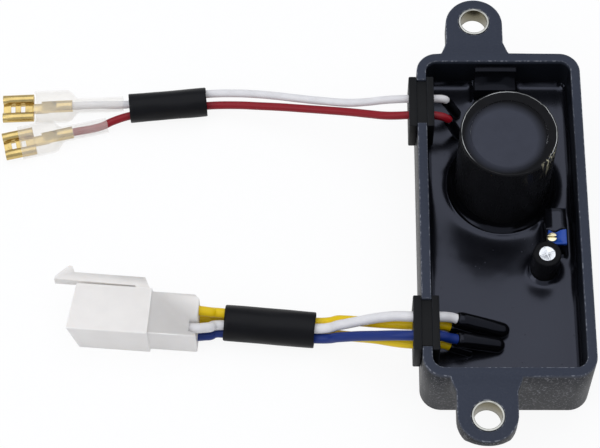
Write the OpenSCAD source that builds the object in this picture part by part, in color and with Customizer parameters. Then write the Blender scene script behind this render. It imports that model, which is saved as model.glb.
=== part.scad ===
// Potted automatic voltage regulator for a small generator.
// Frame: origin at the centre of the case base, +Z up, +Y towards the far ear, wires leave towards -X.
// All sizes in millimetres.

/* [Case] */
// Case width along X
case_w = 40; // [36:0.5:46]
// Case length along Y
case_l = 86; // [80:0.5:96]
// Case height to the rim
case_h = 21.4; // [20:0.2:24]
// Wall thickness
wall = 2.3; // [1.8:0.1:3]
// Floor thickness
floor_t = 2.5; // [1.6:0.1:3]
// Outer corner radius
corner_r = 5; // [4:0.5:7]
// Chamfer round the base edge
base_chamfer = 0.8; // [0.3:0.1:1.5]

/* [Ears] */
// Distance between the two mounting holes
hole_spacing = 105; // [102:0.5:118]
// Offset of the ears from the case centre line
ear_x = -5.5; // [-8:0.5:8]
// Radius of the rounded ear end
ear_r = 7; // [6.4:0.1:8]
// Thickness of the ear plate
ear_t = 4.8; // [3:0.2:7]
// Step from the rim down to the ear face
ear_drop = 0.5; // [0.2:0.1:2]
// Outer radius of the steel bushing
bush_r = 3.75; // [3.4:0.05:4.2]
// Bore radius of the steel bushing
bush_bore_r = 3.2; // [2.6:0.05:3.3]

/* [Grommets] */
// Distance of each wall slot from the middle of the case
slot_y = 29.5; // [24:0.5:32]
// Length of a wall slot
slot_len = 12; // [11:0.2:14]
// Depth of a wall slot below the rim
slot_h = 9.4; // [8.6:0.2:9.8]
// Flange overhang at the ends and below
flange_lip = 0.9; // [0.4:0.1:1.5]
// Flange thickness on each side of the wall
flange_t = 2; // [1:0.1:3]

/* [Wires] */
// Radius of the white and red wires of the two-wire harness
field_r = 1; // [0.8:0.05:1.2]
// Radius of the four wires of the connector harness
sense_r = 1.2; // [0.9:0.05:1.25]
// Spacing between wires in the upper grommet
field_pitch = 4.6; // [3.6:0.1:5.2]
// Spacing between wires in the lower grommet along the wall
sense_pitch = 4.8; // [3.6:0.1:5.2]
// Depth of the upper wires below the rim
field_drop = 3; // [2.4:0.1:3.6]
// Depth of the upper row of the lower grommet below the rim
sense_drop = 2.3; // [2:0.1:2.6]
// Spacing between the two rows of the lower grommet
sense_row = 4.6; // [3.4:0.1:4.8]

/* [Potting] */
// Height of the resin surface
pot_top = 10.4; // [9.8:0.1:10.8]
// Rise of the resin where it wets the walls
meniscus = 1.5; // [0.6:0.1:1.9]
// Width and height of the resin skirt round the large capacitor
skirt = 2.2; // [1:0.1:2.6]
// Radius of the resin humps over the connector wires
hump_r = 1.9; // [1.5:0.1:2.2]

/* [Circuit] */
// Board thickness
board_t = 1.6; // [0.8:0.1:2]
// Height of the board underside
board_z = 4.6; // [4.2:0.1:4.9]
// Radius of the large capacitor can
cap_r = 11; // [9:0.25:11.5]
// Height of the large capacitor can
cap_h = 30; // [25:0.5:40]
// Width of the sleeve folded over the large capacitor
cap_lip = 2; // [1:0.1:3]
// Sleeve thickness on the large capacitor
cap_sleeve_t = 0.55; // [0.3:0.05:0.8]
// Radius of the small capacitor can
small_r = 3.05; // [2.5:0.05:3.1]
// Height of the small capacitor can
small_h = 13.2; // [9:0.2:15]
// Width of the sleeve folded over the small capacitor
small_lip = 1.1; // [0.5:0.05:1.5]
// Sleeve thickness on the small capacitor
small_sleeve_t = 0.3; // [0.15:0.05:0.35]
// Trimmer body across X
trim_w = 4.83; // [4:0.05:5.2]
// Trimmer body along Y
trim_l = 9.53; // [8.5:0.05:10]
// Trimmer body height
trim_h = 10; // [8:0.1:11]
// Radius of the trimmer screw
screw_r = 1.15; // [0.8:0.05:1.3]
// Radial clearance of the trimmer screw
screw_gap = 0.05; // [0.02:0.01:0.1]

/* [Harness] */
// Radius of the upper harness sleeve
up_sleeve_r = 3.7; // [3.6:0.05:4]
// Radius of the lower harness sleeve
low_sleeve_r = 4.4; // [4.3:0.05:4.8]
// Wall of the harness sleeves
sleeve_t = 0.55; // [0.3:0.05:0.6]
// Width of a spade terminal across its rolled sides
spade_w = 7.6; // [7.2:0.1:7.8]
// Sheet thickness of a spade terminal
spade_t = 0.8; // [0.5:0.05:0.9]
// Wall of the clear terminal covers
cover_t = 0.35; // [0.25:0.05:0.35]

/* [Connector] */
// Connector hood across
hood_w = 12; // [11.4:0.1:13]
// Connector hood height
hood_h = 11; // [10.8:0.1:12]
// Connector hood length
hood_l = 18.9; // [16:0.1:20]
// Wall of the connector hood
hood_wall = 1.3; // [0.8:0.1:1.5]
// Rear block length
rear_l = 11.4; // [9:0.1:14]
// Spacing of the four contact cavities
contact_pitch = 4.6; // [4.4:0.1:4.8]

/* [Hidden] */
$fn = 48;

seat_gap = 0.05;
hole_y = hole_spacing / 2;
ear_end_y = hole_y - 0.6;
ear_top = case_h - ear_drop;
in_w = case_w - 2 * wall;
in_l = case_l - 2 * wall;
in_r = corner_r - wall;
wall_in_x = -case_w / 2 + wall;
flange_out_x = -case_w / 2 - flange_t;
flange_in_x = wall_in_x + flange_t - 0.2;
flange_len = slot_len + 2 * flange_lip;
flange_z = case_h - slot_h - flange_lip;

board_top = board_z + board_t;
board_w = in_w - 2;
board_l = in_l - 2;

cap_x = 0.5;
cap_y = 11.8;
cap_z = board_top + 0.1;
cap_out_r = cap_r + cap_sleeve_t;
cap_pin = 5;
small_x = in_w / 2 - 7.8;
small_y = -11;
small_z = board_top + 0.1;
small_out_r = small_r + small_sleeve_t;
small_pin = 1.25;
trim_x = in_w / 2 - 5.1;
trim_y = -2.4;
trim_z = board_top + 0.8;
trim_top = trim_z + trim_h;
screw_x = trim_x - 1.1;
screw_y = trim_y - 3.1;
screw_h = 1.6;
trans_w = 10.2;
trans_t = 4.6;
trans_x = -0.5;
trans_y = in_l / 2 - trans_t - 0.6;
trans_z = board_top + 1;
trans_h = 13;
lead_r = 0.4;
lead_z = board_z - 0.8;

diode_r = 1.3;
diode_l = 4.6;
diode_y = [-13, -8, 0, 5];
diode_gap = 0.2;
diode_reach = cap_y - diode_y[3] - diode_r;
diode_x = cap_x - sqrt(pow(cap_out_r, 2) - pow(diode_reach, 2)) - diode_l / 2 - diode_gap;
resistor_r = 1.1;
resistor_l = 6;
resistor_x = -board_w / 2 + 15;
resistor_y = [-22, -17, -12];
part_z = board_top + 1.6;

field_z = case_h - field_drop;
field_far_y = slot_y + field_pitch / 2;
field_near_y = slot_y - field_pitch / 2;
sense_z = case_h - sense_drop;
wind_z = sense_z - sense_row;
sense_far_y = -slot_y + sense_pitch / 2;
sense_near_y = -slot_y - sense_pitch / 2;
pass_in_x = wall_in_x + 1.6;
pass_out_x = flange_out_x;

hump_a1 = [wall_in_x + 6, sense_far_y + 0.7, sense_z - 2.8];
hump_b1 = [wall_in_x + 17.1, sense_far_y, pot_top + 0.9];
hump_a2 = [wall_in_x + 5.9, sense_near_y + 0.3, sense_z - 2.8];
hump_b2 = [wall_in_x + 15.8, sense_near_y + 1, pot_top + 0.9];
hump_a3 = [wall_in_x + 4.4, sense_far_y - 0.05, wind_z - 1];
hump_b3 = [wall_in_x + 9.2, sense_far_y - 0.3, pot_top + 0.2];
hump_a4 = [wall_in_x + 4.2, sense_near_y - 0.05, wind_z - 1];
hump_b4 = [wall_in_x + 9, sense_near_y - 0.3, pot_top + 0.2];
hump_a5 = [wall_in_x + 5.2, field_far_y + 0.1, field_z - 1.8];
hump_b5 = [wall_in_x + 7.8, field_far_y + 0.2, pot_top + 0.4];
hump_a6 = [wall_in_x + 5.8, field_near_y - 0.7, field_z - 2.2];
hump_b6 = [wall_in_x + 8.3, field_near_y - 1.4, pot_top + 0.4];

con_x = -72.6;
con_y = -22.75;
con_turn = -4.3;
con_z = hood_h / 2;
wire_stop = 3;
crimp_l = 2.4;
mouth_x = -rear_l - hood_l;
mouth_skew = -5.3;
rear_y = hood_w / 2 - 0.5;
arm_in_y = hood_w / 2 + 0.6;
arm_out_y = hood_w / 2 + 3;

spade_white = [-106.5, 39.2];
spade_white_turn = 2.6;
spade_red = [-106, 31.55];
spade_red_turn = 13.5;
cover_in_w = spade_w + 0.25;
cover_w = cover_in_w + 2 * cover_t;
cover_in_h = 3.7;
cover_h = cover_in_h + 2 * cover_t;
spade_z = cover_h / 2;
crimp_r = 1.5;
tail_in_r = crimp_r + 0.1;
cover_wide_l = 11;
cover_tail_l = 11.4;
shoulder_l = 2.4;

function unit(v) = v / norm(v);
function turned(p, a) = [p[0] * cos(a) - p[1] * sin(a), p[0] * sin(a) + p[1] * cos(a)];
function con_at(x, y, z) = [con_x + turned([x, y], con_turn)[0], con_y + turned([x, y], con_turn)[1], z];
function spade_at(s, a, x) = [s[0] + x * cos(a), s[1] + x * sin(a), spade_z];
function heading(p, i) =
  i == 0 ? unit(p[1] - p[0]) :
  i == len(p) - 1 ? unit(p[i] - p[i - 1]) :
  unit(unit(p[i + 1] - p[i]) + unit(p[i] - p[i - 1]));
function ring(p, i, r) =
  let (t = heading(p, i), a = unit(cross(t, [0, 1, 0])), b = cross(t, a))
  [for (k = [0 : 7]) p[i] + r * (a * cos(45 * k) + b * sin(45 * k))];

function hump_end(a, b) = [a - 0.05 * unit(b - a), a - 1.4 * unit(b - a)];

// A route with one more point on a smooth curve in each stretch between grommet and terminal
function eased(p) = [
  for (i = [0 : len(p) - 1])
    each (i < 3 || i > len(p) - 3 ? [p[i]] : [p[i], (9 * (p[i] + p[i + 1]) - p[i - 1] - p[i + 2]) / 16])
];

route_field_white = [
  each hump_end(hump_a5, hump_b5), [pass_in_x, field_far_y, field_z], [pass_out_x, field_far_y, field_z],
  [-27.6, 32.2, 17.2], [-36.2, 33.6, 13.4], [-48.6, 37.4, 8.9], [-58.8, 40.1, 6.4], [-72.2, 41, 5.1],
  [-91.8, 39.4, 2.7],
  spade_at(spade_white, spade_white_turn, 7.4), spade_at(spade_white, spade_white_turn, 0.03)
];
route_field_red = [
  each hump_end(hump_a6, hump_b6), [pass_in_x, field_near_y, field_z], [pass_out_x, field_near_y, field_z],
  [-27.6, 28, 16.8], [-36.2, 31.4, 12.6], [-48.6, 35, 8.2], [-58.8, 37.3, 5.4], [-72.2, 38.5, 3.5],
  [-91.8, 35.9, 2.9],
  spade_at(spade_red, spade_red_turn, 7.4), spade_at(spade_red, spade_red_turn, 0.03)
];
route_sense_white = [
  each hump_end(hump_a1, hump_b1), [pass_in_x, sense_far_y, sense_z], [pass_out_x, sense_far_y, sense_z],
  [-26, -26.4, 17.8], [-30.5, -25.5, 14.7], [-35, -24.9, 11.3], [-39.5, -24.7, 8.7], [-44.8, -24.6, 6.6],
  [-66.4, -23.3, 5.7], [-69.6, -24.3, 6.9],
  con_at(0, -contact_pitch / 2, con_z + contact_pitch / 2),
  con_at(0.03 - wire_stop, -contact_pitch / 2, con_z + contact_pitch / 2)
];
route_sense_blue = [
  each hump_end(hump_a2, hump_b2), [pass_in_x, sense_near_y, sense_z], [pass_out_x, sense_near_y, sense_z],
  [-26, -31.3, 17.8], [-30.5, -29.9, 14.4], [-35, -28.4, 10.8], [-39.5, -27.3, 7.6], [-44.8, -26.3, 4.7],
  [-66.4, -24.3, 3.4], [-69.6, -24.7, 3.2],
  con_at(0, -contact_pitch / 2, con_z - contact_pitch / 2),
  con_at(0.03 - wire_stop, -contact_pitch / 2, con_z - contact_pitch / 2)
];
route_winding_a = [
  each hump_end(hump_a3, hump_b3), [pass_in_x, sense_far_y, wind_z], [pass_out_x, sense_far_y, wind_z],
  [-26, -26.4, 13.4], [-30.5, -25, 11], [-35, -23.5, 8.6], [-39.5, -22.5, 6.8], [-44.8, -22.4, 5.3],
  [-66.4, -20.4, 6.1], [-69.6, -20.5, 7],
  con_at(0, contact_pitch / 2, con_z + contact_pitch / 2),
  con_at(0.03 - wire_stop, contact_pitch / 2, con_z + contact_pitch / 2)
];
route_winding_b = [
  each hump_end(hump_a4, hump_b4), [pass_in_x, sense_near_y, wind_z], [pass_out_x, sense_near_y, wind_z],
  [-26, -31, 13.4], [-30.5, -29, 10.7], [-35, -26.9, 7], [-39.5, -25.1, 4.1], [-44.8, -23.6, 2.4],
  [-66.4, -20.2, 3.6], [-69.6, -20.4, 3.3],
  con_at(0, contact_pitch / 2, con_z - contact_pitch / 2),
  con_at(0.03 - wire_stop, contact_pitch / 2, con_z - contact_pitch / 2)
];

// Shared shapes

module wire(p, r) {
  n = len(p);
  pts = [for (i = [0 : n - 1]) each ring(p, i, r)];
  sides = [for (i = [0 : n - 2]) for (k = [0 : 7])
    [8 * i + k, 8 * i + 8 + k, 8 * i + 8 + (k + 1) % 8, 8 * i + (k + 1) % 8]];
  start = [[for (k = [0 : 7]) k]];
  end = [[for (k = [0 : 7]) 8 * n - 1 - k]];
  polyhedron(points = pts, faces = concat(start, sides, end));
}

module rounded_prism(w, l, r, h) {
  translate([-w / 2 + r, -l / 2, 0]) cube([w - 2 * r, l, h]);
  translate([-w / 2, -l / 2 + r, 0]) cube([w, l - 2 * r, h]);
  for (x = [-w / 2 + r, w / 2 - r])
    for (y = [-l / 2 + r, l / 2 - r])
      translate([x, y, 0]) cylinder(r = r, h = h);
}

module along(a, b) {
  d = b - a;
  translate(a)
    rotate([0, acos(d[2] / norm(d)), atan2(d[1], d[0])])
      children();
}

module x_cylinder(r, l) {
  translate([-l / 2, 0, 0]) rotate([0, 90, 0]) cylinder(r = r, h = l);
}

// Hollow-sided foot of the resin against an upright face, in three flats
module foot_profile(s) {
  polygon([[-0.3, -0.3], [s, -0.3], [s, 0], [0.5 * s, 0.13 * s], [0.13 * s, 0.5 * s], [0, s], [-0.3, s]]);
}

// Leads of every board part, grown by g
module leads(g) {
  for (d = [-cap_pin, cap_pin])
    translate([cap_x + d, cap_y, lead_z - g]) cylinder(r = 0.5 + g, h = cap_z - lead_z + 2 * g, $fn = 24);
  for (d = [-small_pin, small_pin])
    translate([small_x + d, small_y, lead_z - g])
      cylinder(r = lead_r + g, h = small_z - lead_z + 2 * g, $fn = 24);
  for (d = [-2.54, 0, 2.54]) {
    translate([trim_x, trim_y + d, lead_z - g])
      cylinder(r = lead_r + g, h = trim_z - lead_z + 2 * g, $fn = 24);
    translate([trans_x + d, trans_y + 2.2, lead_z - g])
      cylinder(r = lead_r + g, h = trans_z - lead_z + 2 * g, $fn = 24);
  }
}

module diodes(g) {
  for (y = diode_y)
    translate([diode_x, y, part_z]) x_cylinder(diode_r + g, diode_l + 2 * g, $fn = 32);
}

module resistor_bodies(g) {
  for (y = resistor_y)
    translate([resistor_x, y, part_z]) x_cylinder(resistor_r + g, resistor_l + 2 * g, $fn = 32);
}

// Case

module case_solid() {
  c = base_chamfer;
  rotate([90, 0, 0]) linear_extrude(height = case_l - 2 * corner_r, center = true)
    polygon([[-case_w / 2 + c, 0], [case_w / 2 - c, 0], [case_w / 2, c], [case_w / 2, case_h],
      [-case_w / 2, case_h], [-case_w / 2, c]]);
  rotate([90, 0, 90]) linear_extrude(height = case_w - 2 * corner_r, center = true)
    polygon([[-case_l / 2 + c, 0], [case_l / 2 - c, 0], [case_l / 2, c], [case_l / 2, case_h],
      [-case_l / 2, case_h], [-case_l / 2, c]]);
  for (x = [-1, 1])
    for (y = [-1, 1])
      translate([x * (case_w / 2 - corner_r), y * (case_l / 2 - corner_r), 0]) {
        cylinder(r1 = corner_r - c, r2 = corner_r, h = c);
        translate([0, 0, c]) cylinder(r = corner_r, h = case_h - c);
      }
}

// One ear, drawn for the +Y end
module ear() {
  root = case_l / 2 - 1;
  tip = ear_end_y + ear_r;
  low = ear_top - ear_t;
  intersection() {
    translate([ear_x, 0, 0]) linear_extrude(height = case_h + 1) {
      translate([0, ear_end_y]) circle(r = ear_r);
      translate([-ear_r, root]) square([2 * ear_r, ear_end_y - root]);
      polygon([[-ear_r - 1.4, root], [ear_r + 1.4, root], [ear_r + 1.4, case_l / 2],
        [ear_r, case_l / 2 + 3.5], [-ear_r, case_l / 2 + 3.5], [-ear_r - 1.4, case_l / 2]]);
    }
    rotate([90, 0, 90]) linear_extrude(height = 4 * case_w, center = true)
      polygon([[root, low - 4], [case_l / 2, low - 4], [case_l / 2 + 2.6, low], [tip - 2.4, low],
        [tip, low + 2.2], [tip, ear_top], [case_l / 2 + 1, ear_top], [case_l / 2, case_h], [root, case_h]]);
  }
}

module housing() {
  color([0.06, 0.07, 0.09]) difference() {
    union() {
      case_solid();
      ear();
      mirror([0, 1, 0]) ear();
    }
    translate([0, 0, floor_t]) rounded_prism(in_w, in_l, in_r, case_h);
    for (s = [-1, 1]) {
      translate([ear_x, s * hole_y, -1]) cylinder(r = bush_r + seat_gap, h = case_h + 2);
      translate([-case_w / 2 - 1, s * slot_y - slot_len / 2, case_h - slot_h])
        cube([wall + 2, slot_len, slot_h + 1]);
    }
  }
}

module bushing() {
  difference() {
    cylinder(r = bush_r, h = ear_t + 0.15);
    translate([0, 0, -1]) cylinder(r = bush_bore_r, h = ear_t + 3);
  }
}

module ear_bushing_far() {
  color([0.75, 0.75, 0.76]) translate([ear_x, hole_y, ear_top - ear_t]) bushing();
}

module ear_bushing_near() {
  color([0.75, 0.75, 0.76]) translate([ear_x, -hole_y, ear_top - ear_t]) bushing();
}

// Grommets

module grommet_blank() {
  g = seat_gap;
  translate([flange_out_x, -flange_len / 2, flange_z]) cube([flange_t - g, flange_len, slot_h + flange_lip]);
  translate([wall_in_x + g, -flange_len / 2, flange_z])
    cube([flange_in_x - wall_in_x - g, flange_len, slot_h + flange_lip]);
  translate([flange_out_x + 0.5, -slot_len / 2 + g, case_h - slot_h + g])
    cube([flange_in_x - flange_out_x - 1, slot_len - 2 * g, slot_h - g - 0.5]);
}

module wire_hole(y, z, r) {
  translate([flange_out_x - 1, y, z]) rotate([0, 90, 0])
    cylinder(r = r + seat_gap, h = 3 * flange_t + wall + 2);
}

module grommet_upper() {
  color([0.05, 0.05, 0.05]) difference() {
    translate([0, slot_y, 0]) grommet_blank();
    wire_hole(field_far_y, field_z, field_r);
    wire_hole(field_near_y, field_z, field_r);
  }
}

module grommet_lower() {
  color([0.05, 0.05, 0.05]) difference() {
    translate([0, -slot_y, 0]) grommet_blank();
    for (y = [sense_far_y, sense_near_y])
      for (z = [sense_z, wind_z])
        wire_hole(y, z, sense_r);
  }
}

// Resin

// The space above the resin, flared where the resin climbs the walls
module resin_dish() {
  m = meniscus;
  w = in_w / 2 - seat_gap;
  l = in_l / 2 - seat_gap;
  r = in_r - seat_gap;
  up = [[m, 0], [0.5 * m, 0.13 * m], [0.13 * m, 0.5 * m], [0, m], [0, 2 * m]];
  down = [[0, 2 * m], [0, m], [0.13 * m, 0.5 * m], [0.5 * m, 0.13 * m], [m, 0]];
  translate([0, 0, pot_top]) {
    rotate([90, 0, 0]) linear_extrude(height = 2 * (l - r), center = true)
      polygon(concat([for (p = up) [w - p[0], p[1]]], [for (p = down) [p[0] - w, p[1]]]));
    rotate([90, 0, 90]) linear_extrude(height = 2 * (w - r), center = true)
      polygon(concat([for (p = up) [l - p[0], p[1]]], [for (p = down) [p[0] - l, p[1]]]));
    for (x = [r - w, w - r])
      for (y = [r - l, l - r])
        translate([x, y, 0]) rotate_extrude()
          polygon(concat([[0, 0]], [for (p = up) [r - p[0], p[1]]], [[0, 2 * m]]));
  }
}

// Coated wire with a rounded end
module hump(a, b, r) {
  l = norm(b - a);
  along(a, b) rotate_extrude()
    polygon([[0, 0], [r, 0], [r, l], [0.87 * r, l + 0.5 * r], [0.5 * r, l + 0.87 * r], [0, l + r]]);
}

module potting_compound() {
  g = seat_gap;
  color([0.02, 0.02, 0.025]) difference() {
    union() {
      difference() {
        translate([0, 0, floor_t + g])
          rounded_prism(in_w - 2 * g, in_l - 2 * g, in_r - g, pot_top + meniscus - 0.2 - floor_t);
        resin_dish();
      }
      translate([cap_x, cap_y, pot_top]) rotate_extrude() translate([cap_out_r, 0]) foot_profile(skirt);
      translate([small_x, small_y, pot_top]) rotate_extrude() translate([small_out_r, 0]) foot_profile(1);
      hump(hump_a1, hump_b1, hump_r);
      hump(hump_a2, hump_b2, hump_r);
      hump(hump_a3, hump_b3, sense_r + 0.15);
      hump(hump_a4, hump_b4, sense_r + 0.15);
      hump(hump_a5, hump_b5, field_r + 0.3);
      hump(hump_a6, hump_b6, field_r + 0.3);
    }
    translate([-board_w / 2 - g, -board_l / 2 - g, board_z - g])
      cube([board_w + 2 * g, board_l + 2 * g, board_t + 2 * g]);
    translate([cap_x, cap_y, cap_z - g]) cylinder(r = cap_out_r + g, h = cap_h);
    translate([small_x, small_y, small_z - g]) cylinder(r = small_out_r + g, h = small_h);
    translate([trim_x - trim_w / 2 - g, trim_y - trim_l / 2 - g, trim_z - g])
      cube([trim_w + 2 * g, trim_l + 2 * g, trim_h]);
    translate([trans_x - trans_w / 2 - g, trans_y - g, trans_z - g])
      cube([trans_w + 2 * g, trans_t + 2 * g, trans_h]);
    leads(g);
    diodes(g);
    resistor_bodies(g);
    for (s = [-1, 1])
      translate([wall_in_x - 1, s * slot_y - flange_len / 2 - g, flange_z - g])
        cube([flange_in_x - wall_in_x + 1 + g, flange_len + 2 * g, slot_h]);
  }
}

// Circuit

module circuit_board() {
  color([0.35, 0.29, 0.12]) difference() {
    translate([-board_w / 2, -board_l / 2, board_z]) cube([board_w, board_l, board_t]);
    leads(0.1);
  }
}

module main_capacitor_can() {
  color([0.75, 0.76, 0.78]) {
    difference() {
      translate([cap_x, cap_y, cap_z]) cylinder(r = cap_r, h = cap_h);
      translate([cap_x, cap_y, cap_z + cap_h - 0.7]) cylinder(r = cap_r - cap_lip, h = 2);
    }
    for (d = [-cap_pin, cap_pin])
      translate([cap_x + d, cap_y, lead_z]) cylinder(r = 0.5, h = cap_z - lead_z + 0.5, $fn = 24);
  }
}

module main_capacitor_sleeve() {
  color([0.03, 0.03, 0.035]) translate([cap_x, cap_y, cap_z]) difference() {
    cylinder(r = cap_out_r, h = cap_h + cap_sleeve_t);
    translate([0, 0, -1]) cylinder(r = cap_r + seat_gap, h = cap_h + 1 + seat_gap);
    cylinder(r = cap_r - cap_lip, h = cap_h + 2);
  }
}

module main_capacitor_disc() {
  color([0.06, 0.06, 0.07]) translate([cap_x, cap_y, cap_z + cap_h - 0.7 + seat_gap])
    cylinder(r = cap_r - cap_lip - seat_gap, h = 0.7 + cap_sleeve_t - 0.15);
}

module small_capacitor_can() {
  color([0.78, 0.79, 0.8]) {
    difference() {
      translate([small_x, small_y, small_z]) cylinder(r = small_r, h = small_h);
      for (a = [0, 90])
        translate([small_x, small_y, small_z + small_h]) rotate([0, 0, a + 20])
          cube([2 * (small_r - small_lip) - 0.3, 0.25, 0.3], center = true);
    }
    for (d = [-small_pin, small_pin])
      translate([small_x + d, small_y, lead_z]) cylinder(r = lead_r, h = small_z - lead_z + 0.5, $fn = 24);
  }
}

module small_capacitor_sleeve() {
  color([0.04, 0.04, 0.05]) translate([small_x, small_y, small_z]) difference() {
    cylinder(r = small_out_r, h = small_h + small_sleeve_t);
    translate([0, 0, -1]) cylinder(r = small_r + seat_gap, h = small_h + 1 + seat_gap);
    cylinder(r = small_r - small_lip, h = small_h + 2);
  }
}

module trimmer_body() {
  color([0.05, 0.2, 0.65]) {
    difference() {
      translate([trim_x - trim_w / 2, trim_y - trim_l / 2, trim_z]) cube([trim_w, trim_l, trim_h]);
      translate([screw_x, screw_y, trim_top - screw_h]) cylinder(r = screw_r + screw_gap, h = screw_h + 1);
    }
    for (d = [-2.54, 0, 2.54])
      translate([trim_x, trim_y + d, lead_z]) cylinder(r = lead_r, h = trim_z - lead_z + 0.5, $fn = 24);
  }
}

module trimmer_screw() {
  color([0.72, 0.58, 0.28]) translate([screw_x, screw_y, trim_top - screw_h + screw_gap]) difference() {
    cylinder(r = screw_r, h = screw_h + 0.35);
    translate([-screw_r - 1, -0.25, screw_h - 0.45]) cube([2 * screw_r + 2, 0.5, 2]);
  }
}

module power_transistor() {
  color([0.05, 0.05, 0.055]) {
    translate([trans_x - trans_w / 2, trans_y, trans_z]) cube([trans_w, trans_t - 1.3, trans_h - 4]);
    translate([trans_x - trans_w / 2, trans_y + trans_t - 1.6, trans_z + 1])
      cube([trans_w, 1.6, trans_h - 1]);
    for (d = [-2.54, 0, 2.54])
      translate([trans_x + d, trans_y + 2.2, lead_z])
        cylinder(r = lead_r, h = trans_z - lead_z + 0.5, $fn = 24);
  }
}

module rectifier_diodes() {
  color([0.08, 0.08, 0.08]) diodes(0);
}

module resistors() {
  color([0.72, 0.6, 0.42]) resistor_bodies(0);
}

// Wires

module field_wire_white() {
  color([0.93, 0.93, 0.93]) wire(eased(route_field_white), field_r);
}

module field_wire_red() {
  color([0.66, 0.09, 0.15]) wire(eased(route_field_red), field_r);
}

module sense_wire_white() {
  color([0.93, 0.93, 0.93]) wire(eased(route_sense_white), sense_r);
}

module sense_wire_blue() {
  color([0.1, 0.22, 0.66]) wire(eased(route_sense_blue), sense_r);
}

module winding_wire_a() {
  color([0.85, 0.7, 0.08]) wire(eased(route_winding_a), sense_r);
}

module winding_wire_b() {
  color([0.85, 0.7, 0.08]) wire(eased(route_winding_b), sense_r);
}

module sleeve_tube(a, b, r) {
  along(a, b) difference() {
    cylinder(r = r, h = norm(b - a));
    translate([0, 0, -1]) cylinder(r = r - sleeve_t, h = norm(b - a) + 2);
  }
}

module harness_sleeve_upper() {
  color([0.03, 0.03, 0.03])
    sleeve_tube([-72.4, 39.5, up_sleeve_r], [-91.8, 37.6, up_sleeve_r], up_sleeve_r);
}

module harness_sleeve_lower() {
  color([0.03, 0.03, 0.03])
    sleeve_tube([-44.8, -24, low_sleeve_r], [-66.4, -22.1, low_sleeve_r], low_sleeve_r);
}

// Terminals, drawn with the wire end at the origin and the mouth towards -X

module spade() {
  r = 1.25;
  low = -spade_z + cover_t + 0.35;
  flat = spade_w - 2 * r;
  rotate([0, -90, 0]) difference() {
    cylinder(r = crimp_r, h = 7.8);
    translate([0, 0, 4]) translate([0.4, -4, 0]) cube([8, 8, 8]);
  }
  translate([-10.2, -1.1, low]) cube([4, 2.2, spade_t + 0.6]);
  translate([-17.6, -spade_w / 2 + r, low]) difference() {
    cube([7.8, flat, spade_t]);
    for (x = [1.9, 4.4])
      translate([x, flat / 2 - 1.2, -1]) cube([1.1, 2.4, 3]);
  }
  for (s = [-1, 1])
    translate([-17.6, s * (spade_w / 2 - r), low + r]) rotate([0, 90, 0]) difference() {
      cylinder(r = r, h = 7.8);
      translate([0, 0, -1]) cylinder(r = 0.5 * r, h = 10);
    }
}

// Flat tube whose sides slope in to the tail
module flat_tube(w, h, l, tail) {
  r = h / 2;
  slope = (w / 2 - tail) / shoulder_l;
  intersection() {
    rotate([0, -90, 0]) linear_extrude(height = l) {
      for (s = [-1, 1])
        translate([0, s * (w / 2 - r)]) circle(r = r);
      translate([-r, -w / 2 + r]) square([2 * r, w - 2 * r]);
    }
    translate([0, 0, -h]) linear_extrude(height = 2 * h)
      for (s = [-1, 1])
        polygon([[0.5, -0.1 * s], [0.5, s * (tail - 0.5 * slope)],
          [-shoulder_l - 0.5 / slope, s * (w / 2 + 0.5)], [-l - 1, s * (w / 2 + 0.5)], [-l - 1, -0.1 * s]]);
  }
}

// Clear cover; slide moves it towards the mouth
module cover(slide) {
  translate([-slide, 0, 0]) difference() {
    union() {
      flat_tube(cover_w, cover_h, cover_wide_l, tail_in_r + cover_t);
      translate([cover_tail_l, 0, 0]) rotate([0, -90, 0])
        cylinder(r = tail_in_r + cover_t, h = cover_tail_l + 0.3);
    }
    translate([-cover_t, 0, 0]) flat_tube(cover_in_w, cover_in_h, cover_wide_l, tail_in_r);
    translate([cover_tail_l + 1, 0, 0]) rotate([0, -90, 0]) cylinder(r = tail_in_r, h = cover_tail_l + 3);
  }
}

module placed_spade(s, a) {
  translate([s[0], s[1], spade_z]) rotate([0, 0, a]) children();
}

module spade_terminal_white() {
  color([0.75, 0.62, 0.33]) placed_spade(spade_white, spade_white_turn) spade();
}

module spade_terminal_red() {
  color([0.75, 0.62, 0.33]) placed_spade(spade_red, spade_red_turn) spade();
}

module terminal_cover_white() {
  color([0.85, 0.87, 0.88, 0.4]) placed_spade(spade_white, spade_white_turn) cover(-1.5);
}

module terminal_cover_red() {
  color([0.85, 0.87, 0.88, 0.4]) placed_spade(spade_red, spade_red_turn) cover(2.5);
}

// Connector, drawn with the rear face at the origin and the mouth towards -X

module placed_connector() {
  translate([con_x, con_y, 0]) rotate([0, 0, con_turn]) children();
}

// Hood with its mouth cut aslant
module hood() {
  difference() {
    translate([mouth_x - 2, -hood_w / 2, 0]) cube([hood_l + 2, hood_w, hood_h]);
    translate([mouth_x, 0, 0]) rotate([0, 0, mouth_skew]) rotate([90, 0, 0])
      linear_extrude(height = 2 * hood_w, center = true)
        polygon([[-8, -1], [2.4, -1], [-0.2, hood_h + 1], [-8, hood_h + 1]]);
    translate([mouth_x - 3, -hood_w / 2 + hood_wall, hood_wall])
      cube([hood_l + 1.4, hood_w - 2 * hood_wall, hood_h - 2 * hood_wall]);
  }
}

// Springy arm with a hook beyond the mouth
module latch_arm() {
  translate([0, 0, hood_h - 3]) linear_extrude(height = 2.4)
    polygon([[-rear_l - 4.2, hood_w / 2 - 0.4], [-rear_l - 4.2, arm_in_y], [mouth_x - 4.9, arm_in_y],
      [mouth_x - 4.9, arm_in_y + 1.1], [mouth_x - 1.9, arm_out_y + 1.7], [mouth_x - 0.9, arm_out_y + 1.5],
      [mouth_x - 0.3, arm_out_y], [-rear_l - 2.2, arm_out_y], [-rear_l - 0.4, hood_w / 2 - 0.4]]);
}

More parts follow.
